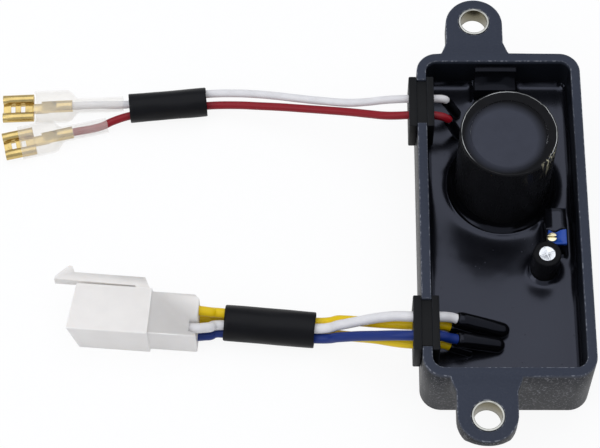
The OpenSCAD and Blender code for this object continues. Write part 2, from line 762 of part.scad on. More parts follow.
// Rear block, hood and arm, with a recess over the near upper wire
module connector_housing() {
  color([0.92, 0.91, 0.89]) placed_connector() difference() {
    union() {
      translate([0, 0, 0.8]) linear_extrude(height = hood_h - 1.6)
        polygon([[-rear_l - 1, -rear_y], [0, -rear_y], [0, rear_y - 1.2], [-1.2, rear_y],
          [-rear_l - 1, rear_y]]);
      hood();
      latch_arm();
    }
    translate([0, -contact_pitch / 2, con_z + 0.3]) linear_extrude(height = hood_h)
      polygon([[0.5, -2.6], [-1.9, -1.9], [-1.9, 1.4], [0.5, 2.4]]);
    for (y = [-contact_pitch / 2, contact_pitch / 2])
      for (z = [con_z - contact_pitch / 2, con_z + contact_pitch / 2]) {
        translate([1, y, z]) rotate([0, -90, 0]) cylinder(r = sense_r + 0.1, h = wire_stop + crimp_l + 1.1);
        translate([-rear_l - 3, y - 1.45, z - 0.45]) cube([rear_l, 2.9, 0.9]);
      }
  }
}

module connector_contacts() {
  color([0.78, 0.68, 0.42]) placed_connector()
    for (y = [-contact_pitch / 2, contact_pitch / 2])
      for (z = [con_z - contact_pitch / 2, con_z + contact_pitch / 2]) {
        translate([-wire_stop, y, z]) rotate([0, -90, 0]) cylinder(r = sense_r - 0.05, h = crimp_l, $fn = 24);
        translate([-rear_l - 10, y - 1.4, z - 0.4]) cube([rear_l + 10 - wire_stop - crimp_l + 0.2, 2.8, 0.8]);
      }
}

housing();
ear_bushing_far();
ear_bushing_near();
grommet_upper();
grommet_lower();
potting_compound();
circuit_board();
main_capacitor_can();
main_capacitor_sleeve();
main_capacitor_disc();
small_capacitor_can();
small_capacitor_sleeve();
trimmer_body();
trimmer_screw();
power_transistor();
rectifier_diodes();
resistors();
field_wire_white();
field_wire_red();
sense_wire_white();
sense_wire_blue();
winding_wire_a();
winding_wire_b();
harness_sleeve_upper();
harness_sleeve_lower();
spade_terminal_white();
spade_terminal_red();
terminal_cover_white();
terminal_cover_red();
connector_housing();
connector_contacts();
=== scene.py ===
"""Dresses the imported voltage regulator: case, resin fill, board parts, wire harnesses, plug and stage."""
import math

import bmesh
import bpy
from bpy.props import FloatProperty, FloatVectorProperty, IntProperty, PointerProperty
from mathutils import Matrix, Vector, noise


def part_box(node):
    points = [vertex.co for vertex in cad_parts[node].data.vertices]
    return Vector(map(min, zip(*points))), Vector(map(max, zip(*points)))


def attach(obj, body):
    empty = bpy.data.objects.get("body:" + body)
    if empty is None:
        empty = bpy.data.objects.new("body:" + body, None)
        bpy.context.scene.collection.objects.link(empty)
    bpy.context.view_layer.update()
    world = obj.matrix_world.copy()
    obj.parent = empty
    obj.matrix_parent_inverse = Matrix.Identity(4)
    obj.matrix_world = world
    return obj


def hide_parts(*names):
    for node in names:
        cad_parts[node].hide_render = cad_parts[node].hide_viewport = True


bl_info = {
    "name": "Potted voltage regulator",
    "version": (1, 0, 0),
    "blender": (4, 5, 0),
    "location": "View3D > Sidebar > Regulator",
    "description": "Finishes, wires and stage for a potted voltage regulator",
    "category": "Object",
}

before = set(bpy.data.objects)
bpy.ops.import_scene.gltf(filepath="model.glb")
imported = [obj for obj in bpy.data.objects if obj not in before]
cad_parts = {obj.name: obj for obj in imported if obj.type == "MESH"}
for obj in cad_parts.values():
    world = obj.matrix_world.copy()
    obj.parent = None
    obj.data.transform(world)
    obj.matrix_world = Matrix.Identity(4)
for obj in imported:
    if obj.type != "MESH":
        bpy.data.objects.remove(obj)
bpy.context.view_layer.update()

MM = 0.001
STATIC = "regulator"
ADJUSTER = "adjuster"
BEVEL_CROWN = "bevel_crown"

# Sizes and places that are also in part.scad
RESIN_TOP = 10.4 * MM
CASE_FLOOR = 2.5 * MM
CASE_WALL = 2.3 * MM
CASE_CORNER = 5 * MM
SEAT_GAP = 0.05 * MM
FIELD_WIRE = 2.0 * MM
SENSE_WIRE = 2.4 * MM
SLEEVE_WALL = 0.55 * MM
COVER_WALL = 0.35 * MM
COVER_HALF_WIDTH = 4.275 * MM
COVER_HALF_HEIGHT = 2.2 * MM
BUSHING_BORE = 3.2 * MM
CONTACT_PITCH = 4.6 * MM
CONTACT_WIDTH = 2.8 * MM
CONTACT_THICK = 0.8 * MM
CONTACT_LENGTH = 16.2 * MM
CONTACT_START = -5.2 * MM
CONTACT_CRIMP = 2.4 * MM
PLUG_REAR = (-72.6 * MM, -22.75 * MM, 5.5 * MM)
PLUG_TURN = math.radians(-4.3)
SPADE_WHITE = (-106.5 * MM, 39.2 * MM, 2.2 * MM)
SPADE_WHITE_TURN = math.radians(2.6)
SPADE_RED = (-106 * MM, 31.55 * MM, 2.2 * MM)
SPADE_RED_TURN = math.radians(13.5)

# Rounding of the solids: the gap under which points are merged, the angle under which faces are joined, the
# angle over which edges are rounded, and the height below which edges of the case stay sharp
MERGE_GAP = 1e-6
FLAT_ANGLE = math.radians(0.5)
SHARP_ANGLE = math.radians(40)
SHARP_BELOW = 16.5 * MM

# Large capacitor: reach of the resin collar round it (the solid's skirt is 2.2 mm), direction of the film's
# pale crease in radians from +X, and how far the painted sheen on its top lies from the centre
SKIRT = 1.8 * MM
CREASE = -0.6
SHEEN_SHIFT = (-0.9 * MM, -1.1 * MM)

# Stage in metres. A softbox has its place, the point that it faces, its width, height and power in watts
FLOOR_HALF = 3.0
FLOOR_LEVEL = -0.02 * MM
LAMP_TINT = (0.94, 0.96, 1.0)
SOFTBOXES = {
    "softbox_overhead": ((-0.03, 0.25, 1.1), (-0.03, 0.2, 0), 1.4, 1.4, 6.8),
    "softbox_left": ((-0.7, -0.3, 0.6), (0, 0, 0.01), 0.6, 0.5, 1.6),
}
# Camera fitted to points of the photograph: place, turn in degrees, lens and sensor in millimetres, and the
# range that it sees
CAMERA_PLACE = (-0.04254, -0.23255, 0.46977)
CAMERA_TURN = (26.995, 0.575, 0.323)
CAMERA_LENS = 127.79
CAMERA_SENSOR = 36.0
CAMERA_NEAR = 0.01
CAMERA_FAR = 20.0

# Routes in millimetres, from the grommet to the terminal or plug
ROUTES = {
    "field_wire_white": [
        (-16.1, 31.8, 18.4), (-22, 31.8, 18.4), (-27.6, 32.2, 17.2), (-36.2, 33.6, 13.4), (-48.6, 37.4, 8.9),
        (-58.8, 40.1, 6.4), (-72.2, 41, 5.1), (-91.8, 39.4, 2.7), (-99.108, 39.536, 2.2),
        (-106.47, 39.201, 2.2)],
    "field_wire_red": [
        (-16.1, 27.2, 18.4), (-22, 27.2, 18.4), (-27.6, 28, 16.8), (-36.2, 31.4, 12.6), (-48.6, 35, 8.2),
        (-58.8, 37.3, 5.4), (-72.2, 38.5, 3.5), (-91.8, 35.9, 2.9), (-98.804, 33.278, 2.2),
        (-105.971, 31.557, 2.2)],
    "sense_wire_white": [
        (-16.1, -27.1, 19.1), (-22, -27.1, 19.1), (-26, -26.4, 17.8), (-30.5, -25.5, 14.7),
        (-35, -24.9, 11.3), (-39.5, -24.7, 8.7), (-44.8, -24.6, 6.6), (-66.4, -23.3, 5.7),
        (-69.6, -24.3, 6.9), (-72.77, -25.04, 7.8), (-75.73, -24.82, 7.8)],
    "sense_wire_blue": [
        (-16.1, -31.9, 19.1), (-22, -31.9, 19.1), (-26, -31.3, 17.8), (-30.5, -29.9, 14.4),
        (-35, -28.4, 10.8), (-39.5, -27.3, 7.6), (-44.8, -26.3, 4.7), (-66.4, -24.3, 3.4),
        (-69.6, -24.7, 3.2), (-72.77, -25.04, 3.2), (-75.73, -24.82, 3.2)],
    "winding_wire_a": [
        (-16.1, -27.1, 14.5), (-22, -27.1, 14.5), (-26, -26.4, 13.4), (-30.5, -25, 11), (-35, -23.5, 8.6),
        (-39.5, -22.5, 6.8), (-44.8, -22.4, 5.3), (-66.4, -20.4, 6.1), (-69.6, -20.5, 7),
        (-72.43, -20.46, 7.8), (-75.39, -20.23, 7.8)],
    "winding_wire_b": [
        (-16.1, -31.9, 14.5), (-22, -31.9, 14.5), (-26, -31, 13.4), (-30.5, -29, 10.7), (-35, -26.9, 7),
        (-39.5, -25.1, 4.1), (-44.8, -23.6, 2.4), (-66.4, -20.2, 3.6), (-69.6, -20.4, 3.3),
        (-72.43, -20.46, 3.2), (-75.39, -20.23, 3.2)],
}
# In millimetres: where each wire goes under its coat of resin, where the coat meets the fill, the radius of
# the coat, and how far it laps back over the insulation
COATS = {
    "field_wire_white": ((-12.5, 31.9, 16.6), (-9.9, 32, 10.8), 1.3, 1.1),
    "field_wire_red": ((-11.9, 26.5, 16.2), (-9.4, 25.8, 10.8), 1.3, 1.1),
    "sense_wire_white": ((-11.7, -26.4, 16.3), (-0.6, -27.1, 11.3), 1.9, 0),
    "sense_wire_blue": ((-11.8, -31.6, 16.3), (-1.9, -30.9, 11.3), 1.9, 0),
    "winding_wire_a": ((-13.3, -27.15, 13.5), (-8.5, -27.4, 10.6), 1.35, 0),
    "winding_wire_b": ((-13.5, -31.95, 13.5), (-8.7, -32.2, 10.6), 1.35, 0),
}
# In millimetres: both ends of each sleeve's axis, and its outer radius
SLEEVES = {
    "harness_sleeve_upper": ((-72.4, 39.5, 3.7), (-91.8, 37.6, 3.7), 3.7),
    "harness_sleeve_lower": ((-44.8, -24, 4.4), (-66.4, -22.1, 4.4), 4.4),
}


def linear(hex_colour):
    """Linear RGBA of an sRGB hex colour."""
    channels = [int(hex_colour[i:i + 2], 16) / 255 for i in (0, 2, 4)]
    return tuple(c / 12.92 if c <= 0.04045 else ((c + 0.055) / 1.055) ** 2.4 for c in channels) + (1.0,)


def metres(point):
    """A point given in millimetres, in metres."""
    return Vector(point) * MM


def eased(points):
    """A route with one more point on a smooth curve in each stretch between grommet and terminal."""
    route = []
    for i, point in enumerate(points):
        route.append(point)
        if 3 <= i <= len(points) - 3:
            route.append((9 * (point + points[i + 1]) - points[i - 1] - points[i + 2]) / 16)
    return route


def opaque(colour):
    """A colour of the settings with full alpha."""
    return tuple(colour) + (1,)


def shade(colour, factor):
    """A darker or lighter shade of a colour."""
    return [min(1, c * factor) for c in colour[:3]] + [1]


def per_metre(size_mm):
    """Texture scale that gives features of about this size."""
    return 1 / (size_mm * MM)


def add(tree, kind, inputs=None, **settings):
    """A new node with its settings, fixed inputs and links. A node given as input means its main output."""
    node = tree.nodes.new(kind)
    for name, value in settings.items():
        setattr(node, name, value)
    for name, value in (inputs or {}).items():
        if isinstance(value, bpy.types.Node):
            value = next(socket for socket in value.outputs if socket.enabled)
        if isinstance(value, bpy.types.NodeSocket):
            tree.links.new(value, node.inputs[name])
        else:
            node.inputs[name].default_value = value
    return node


def start_material(name):
    """An empty material, its tree and its object coordinates."""
    material = bpy.data.materials.get(name) or bpy.data.materials.new(name)
    material.use_nodes = True
    tree = material.node_tree
    tree.nodes.clear()
    place = add(tree, "ShaderNodeTexCoord").outputs["Object"]
    return material, tree, place


def finish_material(material, tree, flat, inputs):
    """A shader with the given inputs, joined to the output, and the flat colour that the viewport shows."""
    shader = add(tree, "ShaderNodeBsdfPrincipled", inputs)
    add(tree, "ShaderNodeOutputMaterial", {"Surface": shader})
    material.diffuse_color = flat
    return material


def plan_reach(tree, place, centre):
    """Distance in plan from a centre."""
    flat = add(tree, "ShaderNodeVectorMath", {0: place, 1: (1.0, 1.0, 0.0)}, operation="MULTIPLY")
    return add(tree, "ShaderNodeVectorMath", {0: flat, 1: (centre[0], centre[1], 0.0)}, operation="DISTANCE")


def top_sheen(tree, place, centre):
    """How far the painted sheen on the large capacitor's top reaches: it lies off centre and ends over the
    fold.
    """
    middle = (centre[0] + SHEEN_SHIFT[0], centre[1] + SHEEN_SHIFT[1])
    return add(tree, "ShaderNodeMapRange", {
        "Value": plan_reach(tree, place, middle), "From Min": 7.4 * MM, "From Max": 9.7 * MM,
        "To Min": 1.0, "To Max": 0.0})


# Finishes


def moulded_case_plastic(colour, half, rim):
    """Glass-filled black polyester: dull grained walls, painted light on the tops, edges pale from scuffs and
    painted highlight.
    """
    material, tree, place = start_material("moulded_black_polyester")
    # Real grit is finer than this: it is drawn as coarse as it needs to be to show
    grit = add(tree, "ShaderNodeTexNoise", {
        "Vector": place, "Scale": per_metre(0.55), "Detail": 4.0, "Roughness": 0.65})
    specks = add(tree, "ShaderNodeTexNoise", {
        "Vector": place, "Scale": per_metre(0.45), "Detail": 2.0, "Roughness": 0.6})
    fleck = add(tree, "ShaderNodeMapRange", {"Value": specks, "From Min": 0.56, "From Max": 0.68})
    mirrored = add(tree, "ShaderNodeVectorMath", {0: place}, operation="ABSOLUTE")
    beyond = add(tree, "ShaderNodeVectorMath", {0: mirrored, 1: half}, operation="SUBTRACT")
    past = add(tree, "ShaderNodeSeparateXYZ", {"Vector": beyond}).outputs
    outside = add(tree, "ShaderNodeMath", {0: past["X"], 1: past["Y"]}, operation="MAXIMUM")
    height = add(tree, "ShaderNodeSeparateXYZ", {"Vector": place}).outputs["Z"]
    below = add(tree, "ShaderNodeMapRange", {
        "Value": height, "From Min": rim - 1.4 * MM, "From Max": rim - 0.7 * MM,
        "To Min": 1.0, "To Max": 0.04})
    on_wall = add(tree, "ShaderNodeMapRange", {"Value": outside, "From Min": 0.0, "From Max": 0.2 * MM})
    shown = add(tree, "ShaderNodeMath", {0: on_wall, 1: below}, operation="MULTIPLY")
    sides = add(tree, "ShaderNodeMix", {
        "Factor": grit, "A": shade(colour, 0.5), "B": shade(colour, 1.5)}, data_type="RGBA")
    # Painted light: the tops are drawn four to six times lighter than the walls, for the light that falls on
    # them from above.
    painted_lit_tops = add(tree, "ShaderNodeMix", {
        "Factor": grit, "A": shade(colour, 4.2), "B": shade(colour, 6.0)}, data_type="RGBA")
    flecked = add(tree, "ShaderNodeMath", {0: fleck, 1: shown}, operation="MULTIPLY")
    bare = add(tree, "ShaderNodeMix", {"Factor": below, "A": painted_lit_tops, "B": sides}, data_type="RGBA")
    grained = add(tree, "ShaderNodeMix", {
        "Factor": flecked, "A": bare, "B": linear("6a696c")}, data_type="RGBA")
    # Pale edges: partly scuffs, partly painted highlight where the rounded rims and ears catch the light.
    crown_share = add(tree, "ShaderNodeAttribute", attribute_name=BEVEL_CROWN).outputs["Fac"]
    edge_patchiness = add(tree, "ShaderNodeTexNoise", {"Vector": place, "Scale": per_metre(0.7), "Detail": 2.0})
    patches = add(tree, "ShaderNodeMapRange", {
        "Value": edge_patchiness, "From Min": 0.5, "From Max": 0.62, "To Min": 0.1, "To Max": 0.8})
    scuffs_and_highlights = add(tree, "ShaderNodeMath", {0: crown_share, 1: patches}, operation="MULTIPLY")
    drift = add(tree, "ShaderNodeTexNoise", {"Vector": place, "Scale": per_metre(14), "Detail": 2.0})
    return finish_material(material, tree, colour, {
        "Base Color": add(tree, "ShaderNodeMix", {
            "Factor": scuffs_and_highlights, "A": grained, "B": linear("84868c")}, data_type="RGBA"),
        "Roughness": add(tree, "ShaderNodeMapRange", {"Value": drift, "To Min": 0.36, "To Max": 0.5}),
        "Normal": add(tree, "ShaderNodeBump", {"Height": grit, "Strength": 0.35, "Distance": 0.15 * MM}),
        "Specular IOR Level": 0.1, "Specular Tint": linear("e4e9ff")})


def zinc_plate(axis, bore):
    """Bright zinc on turned steel: pale metal with a soft bloom, darker and yellowish inside the bore, partly
    a duller film and partly painted shade.
    """
    material, tree, place = start_material("bright_zinc_plate")
    bloom = add(tree, "ShaderNodeTexNoise", {"Vector": place, "Scale": per_metre(1.6), "Detail": 5.0})
    mirrored = add(tree, "ShaderNodeVectorMath", {0: place}, operation="ABSOLUTE")
    # Painted shade: the bore is drawn darker and yellowish, partly a duller film and partly the shade inside
    # the hole.
    inside = add(tree, "ShaderNodeMapRange", {
        "Value": plan_reach(tree, mirrored, axis), "From Min": bore + 0.05 * MM, "From Max": bore + 0.2 * MM,
        "To Min": 1.0, "To Max": 0.0})
    plate = add(tree, "ShaderNodeMix", {
        "Factor": bloom, "A": linear("8f8f88"), "B": linear("c9c7be")}, data_type="RGBA")
    film = add(tree, "ShaderNodeMix", {
        "Factor": bloom, "A": linear("5a5546"), "B": linear("8a846c")}, data_type="RGBA")
    dull = add(tree, "ShaderNodeMix", {"Factor": inside, "A": plate, "B": film}, data_type="RGBA")
    # Paler edges: partly wear, partly painted highlight on the rounded rims.
    crown_share = add(tree, "ShaderNodeAttribute", attribute_name=BEVEL_CROWN).outputs["Fac"]
    rubbed = add(tree, "ShaderNodeMath", {0: crown_share, 1: 0.6}, operation="MULTIPLY")
    return finish_material(material, tree, linear("8f8f88"), {
        "Base Color": add(tree, "ShaderNodeMix", {
            "Factor": rubbed, "A": dull, "B": linear("e2e0d8")}, data_type="RGBA"),
        "Metallic": 1.0,
        "Roughness": add(tree, "ShaderNodeMapRange", {"Value": bloom, "To Min": 0.22, "To Max": 0.42}),
        "Normal": add(tree, "ShaderNodeBump", {"Height": bloom, "Strength": 0.15, "Distance": 0.05 * MM})})


def grommet_rubber():
    """Moulded black rubber: dull, with a faint dusty bloom that gathers on its edges."""
    material, tree, place = start_material("moulded_black_rubber")
    bloom = add(tree, "ShaderNodeTexNoise", {"Vector": place, "Scale": per_metre(2.2), "Detail": 6.0})
    rubber = add(tree, "ShaderNodeMix", {
        "Factor": bloom, "A": linear("060607"), "B": linear("0e0f10")}, data_type="RGBA")
    crown_share = add(tree, "ShaderNodeAttribute", attribute_name=BEVEL_CROWN).outputs["Fac"]
    dusty = add(tree, "ShaderNodeMath", {0: crown_share, 1: bloom}, operation="MULTIPLY")
    return finish_material(material, tree, linear("0c0c0d"), {
        "Base Color": add(tree, "ShaderNodeMix", {
            "Factor": dusty, "A": rubber, "B": linear("2c2d30")}, data_type="RGBA"),
        "Roughness": add(tree, "ShaderNodeMapRange", {"Value": bloom, "To Min": 0.42, "To Max": 0.62}),
        "Normal": add(tree, "ShaderNodeBump", {"Height": bloom, "Strength": 0.2, "Distance": 0.08 * MM}),
        "Specular IOR Level": 0.15})


def potting_resin(name, ripple, gloss, light):
    """Cast black epoxy: gloss that rolls gently where the pour levelled, with a few dust specks."""
    material, tree, place = start_material(name)
    wave = add(tree, "ShaderNodeTexNoise", {
        "Vector": place, "Scale": per_metre(11), "Detail": 2.0, "Roughness": 0.4})
    dust = add(tree, "ShaderNodeTexVoronoi", {"Vector": place, "Scale": per_metre(2.6)}).outputs["Distance"]
    return finish_material(material, tree, linear("08080a"), {
        "Base Color": add(tree, "ShaderNodeMix", {
            "Factor": wave, "A": linear("050506"), "B": linear(light)}, data_type="RGBA"),
        "Roughness": add(tree, "ShaderNodeMapRange", {
            "Value": dust, "From Min": 0.04, "From Max": 0.09, "To Min": 0.45, "To Max": 0.2}),
        "Normal": add(tree, "ShaderNodeBump", {"Height": wave, "Strength": ripple, "Distance": 1.0 * MM}),
        "IOR": 1.54, "Specular IOR Level": gloss, "Specular Tint": linear("dfe4fb")})


def shrink_film(name, colour, centre, radius, fold, stretch):
    """Black shrink film on a can: fine flow wrinkles, a painted highlight along the fold, and pale marks at a
    crease.

    fold is the height of the fold. stretch goes from 0, plain film, to 1, film with painted sheen, fold
    highlight and marks.
    """
    material, tree, place = start_material(name)
    drawn = add(tree, "ShaderNodeVectorMath", {0: place, 1: (1.0, 1.0, 0.25)}, operation="MULTIPLY")
    flow = add(tree, "ShaderNodeTexNoise", {"Vector": drawn, "Scale": per_metre(2.4), "Detail": 3.0})
    spot = add(tree, "ShaderNodeSeparateXYZ", {"Vector": place}).outputs
    # Painted highlight: a pale line along the fold, strongest on the far side, where the rolled edge catches
    # the light.
    far_side = add(tree, "ShaderNodeMapRange", {
        "Value": spot["Y"], "From Min": centre[1] - 8 * MM, "From Max": centre[1] - 4 * MM,
        "To Min": 0.05, "To Max": stretch})
    patches = add(tree, "ShaderNodeTexNoise", {"Vector": place, "Scale": per_metre(6), "Detail": 3.0})
    patched = add(tree, "ShaderNodeMapRange", {"Value": patches, "From Min": 0.36, "From Max": 0.55})
    patchy = add(tree, "ShaderNodeMath", {0: far_side, 1: patched}, operation="MULTIPLY")
    at_fold = add(tree, "ShaderNodeMapRange", {
        "Value": spot["Z"], "From Min": fold - 0.012 * MM, "From Max": fold - 0.003 * MM})
    painted_fold_highlight = add(tree, "ShaderNodeMath", {0: patchy, 1: at_fold}, operation="MULTIPLY")
    away = add(tree, "ShaderNodeVectorMath", {0: place, 1: (centre[0], centre[1], 0.0)}, operation="SUBTRACT")
    level = add(tree, "ShaderNodeVectorMath", {0: away, 1: (1.0, 1.0, 0.0)}, operation="MULTIPLY")
    outward = add(tree, "ShaderNodeVectorMath", {0: level}, operation="NORMALIZE")
    # Pale crease marks: partly stress whitening, partly painted highlight where the creases catch the light.
    facing = add(tree, "ShaderNodeVectorMath", {
        0: outward, 1: (math.cos(CREASE), math.sin(CREASE), 0.0)}, operation="DOT_PRODUCT")
    on_side = add(tree, "ShaderNodeMapRange", {
        "Value": plan_reach(tree, place, centre),
        "From Min": radius - 0.8 * MM, "From Max": radius - 0.4 * MM})
    at_crease = add(tree, "ShaderNodeMapRange", {"Value": facing, "From Min": 0.955, "From Max": 0.985})
    near_top = add(tree, "ShaderNodeMapRange", {
        "Value": spot["Z"], "From Min": fold - 7 * MM, "From Max": fold - 2 * MM,
        "To Min": 0.0, "To Max": stretch})
    creased = add(tree, "ShaderNodeMath", {0: at_crease, 1: near_top}, operation="MULTIPLY")
    pulled = add(tree, "ShaderNodeVectorMath", {0: place, 1: (1.0, 1.0, 0.12)}, operation="MULTIPLY")
    streaks = add(tree, "ShaderNodeTexNoise", {"Vector": pulled, "Scale": per_metre(0.6), "Detail": 2.0})
    streaked = add(tree, "ShaderNodeMapRange", {"Value": streaks, "From Min": 0.54, "From Max": 0.64})
    side_crease = add(tree, "ShaderNodeMath", {0: on_side, 1: creased}, operation="MULTIPLY")
    marks = add(tree, "ShaderNodeMath", {0: side_crease, 1: streaked}, operation="MULTIPLY")
    black = add(tree, "ShaderNodeMix", {
        "Factor": flow, "A": linear("101011"), "B": linear("18181a")}, data_type="RGBA")
    # Painted sheen: the film's top lip takes the disc's slate colour where the sheen reaches, fading to
    # black.
    sheen = add(tree, "ShaderNodeMath", {0: top_sheen(tree, place, centre), 1: stretch}, operation="MULTIPLY")
    lit = add(tree, "ShaderNodeMix", {"Factor": sheen, "A": black, "B": colour}, data_type="RGBA")
    crease_marks_and_highlights = add(tree, "ShaderNodeMix", {"Factor": marks, "A": lit, "B": linear("a09a80")}, data_type="RGBA")
    return finish_material(material, tree, linear("0d0d10"), {
        "Base Color": add(tree, "ShaderNodeMix", {
            "Factor": painted_fold_highlight, "A": crease_marks_and_highlights, "B": linear("d2d2ce")}, data_type="RGBA"),
        "Roughness": add(tree, "ShaderNodeMapRange", {"Value": flow, "To Min": 0.2, "To Max": 0.34}),
        "Normal": add(tree, "ShaderNodeBump", {"Height": flow, "Strength": 0.2, "Distance": 0.2 * MM}),
        "Specular IOR Level": 0.04})


def vent_disc_film(colour, centre):
    """Dark film over the can top with a painted sheen: slate colour off centre that fades to black, sooner
    towards +X and +Y.
    """
    material, tree, place = start_material("dark_vent_disc")
    mottle = add(tree, "ShaderNodeTexNoise", {"Vector": place, "Scale": per_metre(3.5), "Detail": 5.0})
    sheen_slate = add(tree, "ShaderNodeMix", {
        "Factor": mottle, "A": shade(colour, 0.85), "B": shade(colour, 1.15)}, data_type="RGBA")
    # Painted sheen: the slate colour stands for light reflected from the top, fading to black away from its
    # middle.
    return finish_material(material, tree, colour, {
        "Base Color": add(tree, "ShaderNodeMix", {
            "Factor": top_sheen(tree, place, centre), "A": linear("09090c"), "B": sheen_slate}, data_type="RGBA"),
        "Roughness": add(tree, "ShaderNodeMapRange", {"Value": mottle, "To Min": 0.36, "To Max": 0.48}),
        "Normal": add(tree, "ShaderNodeBump", {"Height": mottle, "Strength": 0.12, "Distance": 0.1 * MM}),
        "Specular IOR Level": 0.08})


def drawn_aluminium():
    """Drawn aluminium can: bright, with a fine grain from the drawing."""
    material, tree, place = start_material("drawn_aluminium")
    # Real draw lines are finer than this: the grain is drawn as coarse as it needs to be to show
    grain = add(tree, "ShaderNodeTexNoise", {"Vector": place, "Scale": per_metre(0.5), "Detail": 4.0})
    return finish_material(material, tree, linear("d0d2d4"), {
        "Base Color": add(tree, "ShaderNodeMix", {
            "Factor": grain, "A": linear("b4b6b8"), "B": linear("e4e5e6")}, data_type="RGBA"),
        "Metallic": 1.0,
        "Roughness": add(tree, "ShaderNodeMapRange", {"Value": grain, "To Min": 0.18, "To Max": 0.34}),
        "Normal": add(tree, "ShaderNodeBump", {"Height": grain, "Strength": 0.12, "Distance": 0.05 * MM})})


def trimmer_plastic(colour, low, high):
    """Moulded blue polyester that only shows on top: the sides are under a glossy run of black resin."""
    material, tree, place = start_material("moulded_blue_polyester")
    # The grain from the mould is finer than this: it is drawn as coarse as it needs to be to show
    grain = add(tree, "ShaderNodeTexNoise", {"Vector": place, "Scale": per_metre(0.4), "Detail": 3.0})
    run = add(tree, "ShaderNodeTexNoise", {"Vector": place, "Scale": per_metre(1.8), "Detail": 2.0})
    spot = add(tree, "ShaderNodeSeparateXYZ", {"Vector": place}).outputs
    lift, shift = [add(tree, "ShaderNodeMath", {0: run, 1: 0.8 * MM, 2: spot[axis]}, operation="MULTIPLY_ADD")
                   for axis in ("Z", "X")]
    on_top = add(tree, "ShaderNodeMapRange", {
        "Value": lift, "From Min": high[2] - 0.3 * MM, "From Max": high[2] - 0.15 * MM})
    off_edge = add(tree, "ShaderNodeMapRange", {
        "Value": shift, "From Min": low[0] + 0.75 * MM, "From Max": low[0] + 0.95 * MM})
    bare = add(tree, "ShaderNodeMath", {0: on_top, 1: off_edge}, operation="MULTIPLY")
    blue = add(tree, "ShaderNodeMix", {
        "Factor": grain, "A": shade(colour, 0.8), "B": shade(colour, 1.2)}, data_type="RGBA")
    return finish_material(material, tree, colour, {
        "Base Color": add(tree, "ShaderNodeMix", {
            "Factor": bare, "A": linear("070709"), "B": blue}, data_type="RGBA"),
        "Roughness": add(tree, "ShaderNodeMapRange", {"Value": bare, "To Min": 0.12, "To Max": 0.38}),
        "Normal": add(tree, "ShaderNodeBump", {"Height": grain, "Strength": 0.12, "Distance": 0.04 * MM}),
        "Specular IOR Level": 0.35})


def sheet_brass(name, colour):
    """Worked brass: warm metal with light tarnish, rubbed bright along its edges."""
    material, tree, place = start_material(name)
    tarnish = add(tree, "ShaderNodeTexNoise", {
        "Vector": place, "Scale": per_metre(3), "Detail": 6.0, "Roughness": 0.6})
    crown_share = add(tree, "ShaderNodeAttribute", attribute_name=BEVEL_CROWN).outputs["Fac"]
    rubbed = add(tree, "ShaderNodeMath", {0: crown_share, 1: 0.6}, operation="MULTIPLY")
    metal = add(tree, "ShaderNodeMix", {
        "Factor": tarnish, "A": shade(colour, 0.6), "B": shade(colour, 1.25)}, data_type="RGBA")
    # Real scratches are finer than this: they are drawn as coarse as they need to be to show
    scratches = add(tree, "ShaderNodeTexNoise", {"Vector": place, "Scale": per_metre(0.35), "Detail": 2.0})
    return finish_material(material, tree, colour, {
        "Base Color": add(tree, "ShaderNodeMix", {
            "Factor": rubbed, "A": metal, "B": shade(colour, 1.4)}, data_type="RGBA"),
        "Metallic": 1.0,
        "Roughness": add(tree, "ShaderNodeMapRange", {"Value": tarnish, "To Min": 0.14, "To Max": 0.34}),
        "Normal": add(tree, "ShaderNodeBump", {
            "Height": scratches, "Strength": 0.15, "Distance": 0.04 * MM})})


def wire_insulation(name, colour):
    """Extruded vinyl insulation: even colour, soft sheen, faint handling marks."""
    material, tree, place = start_material(f"extruded_vinyl_{name}")
    marks = add(tree, "ShaderNodeTexNoise", {
        "Vector": place, "Scale": per_metre(4), "Detail": 5.0, "Roughness": 0.6})
    return finish_material(material, tree, colour, {
        "Base Color": add(tree, "ShaderNodeMix", {
            "Factor": marks, "A": shade(colour, 0.82), "B": shade(colour, 1.1)}, data_type="RGBA"),
        "Roughness": add(tree, "ShaderNodeMapRange", {"Value": marks, "To Min": 0.34, "To Max": 0.5}),
        "Normal": add(tree, "ShaderNodeBump", {"Height": marks, "Strength": 0.1, "Distance": 0.1 * MM}),
        "Specular IOR Level": 0.3, "Subsurface Weight": 0.05,
        "Subsurface Radius": (0.6 * MM, 0.5 * MM, 0.4 * MM)})


def sleeve_vinyl():
    """Black vinyl tubing: satin, with shallow dents where the wires press from inside."""
    material, tree, place = start_material("black_vinyl_tubing")
    dents = add(tree, "ShaderNodeTexNoise", {"Vector": place, "Scale": per_metre(5), "Detail": 3.0})
    return finish_material(material, tree, linear("101012"), {
        "Base Color": add(tree, "ShaderNodeMix", {
            "Factor": dents, "A": linear("060608"), "B": linear("0f0f12")}, data_type="RGBA"),
        "Roughness": add(tree, "ShaderNodeMapRange", {"Value": dents, "To Min": 0.34, "To Max": 0.5}),
        "Normal": add(tree, "ShaderNodeBump", {"Height": dents, "Strength": 0.2, "Distance": 0.3 * MM}),
        "Specular IOR Level": 0.14})


def clear_vinyl():
    """Clear soft vinyl: the terminal shows through a faint milky haze with soft highlights."""
    material, tree, place = start_material("clear_soft_vinyl")
    haze = add(tree, "ShaderNodeTexNoise", {"Vector": place, "Scale": per_metre(5), "Detail": 3.0})
    return finish_material(material, tree, (0.9, 0.9, 0.9, 0.4), {
        "Base Color": linear("fff9ee"),
        "Roughness": add(tree, "ShaderNodeMapRange", {"Value": haze, "To Min": 0.15, "To Max": 0.32}),
        "Normal": add(tree, "ShaderNodeBump", {"Height": haze, "Strength": 0.2, "Distance": 0.3 * MM}),
        "Alpha": add(tree, "ShaderNodeMapRange", {"Value": haze, "To Min": 0.08, "To Max": 0.2})})


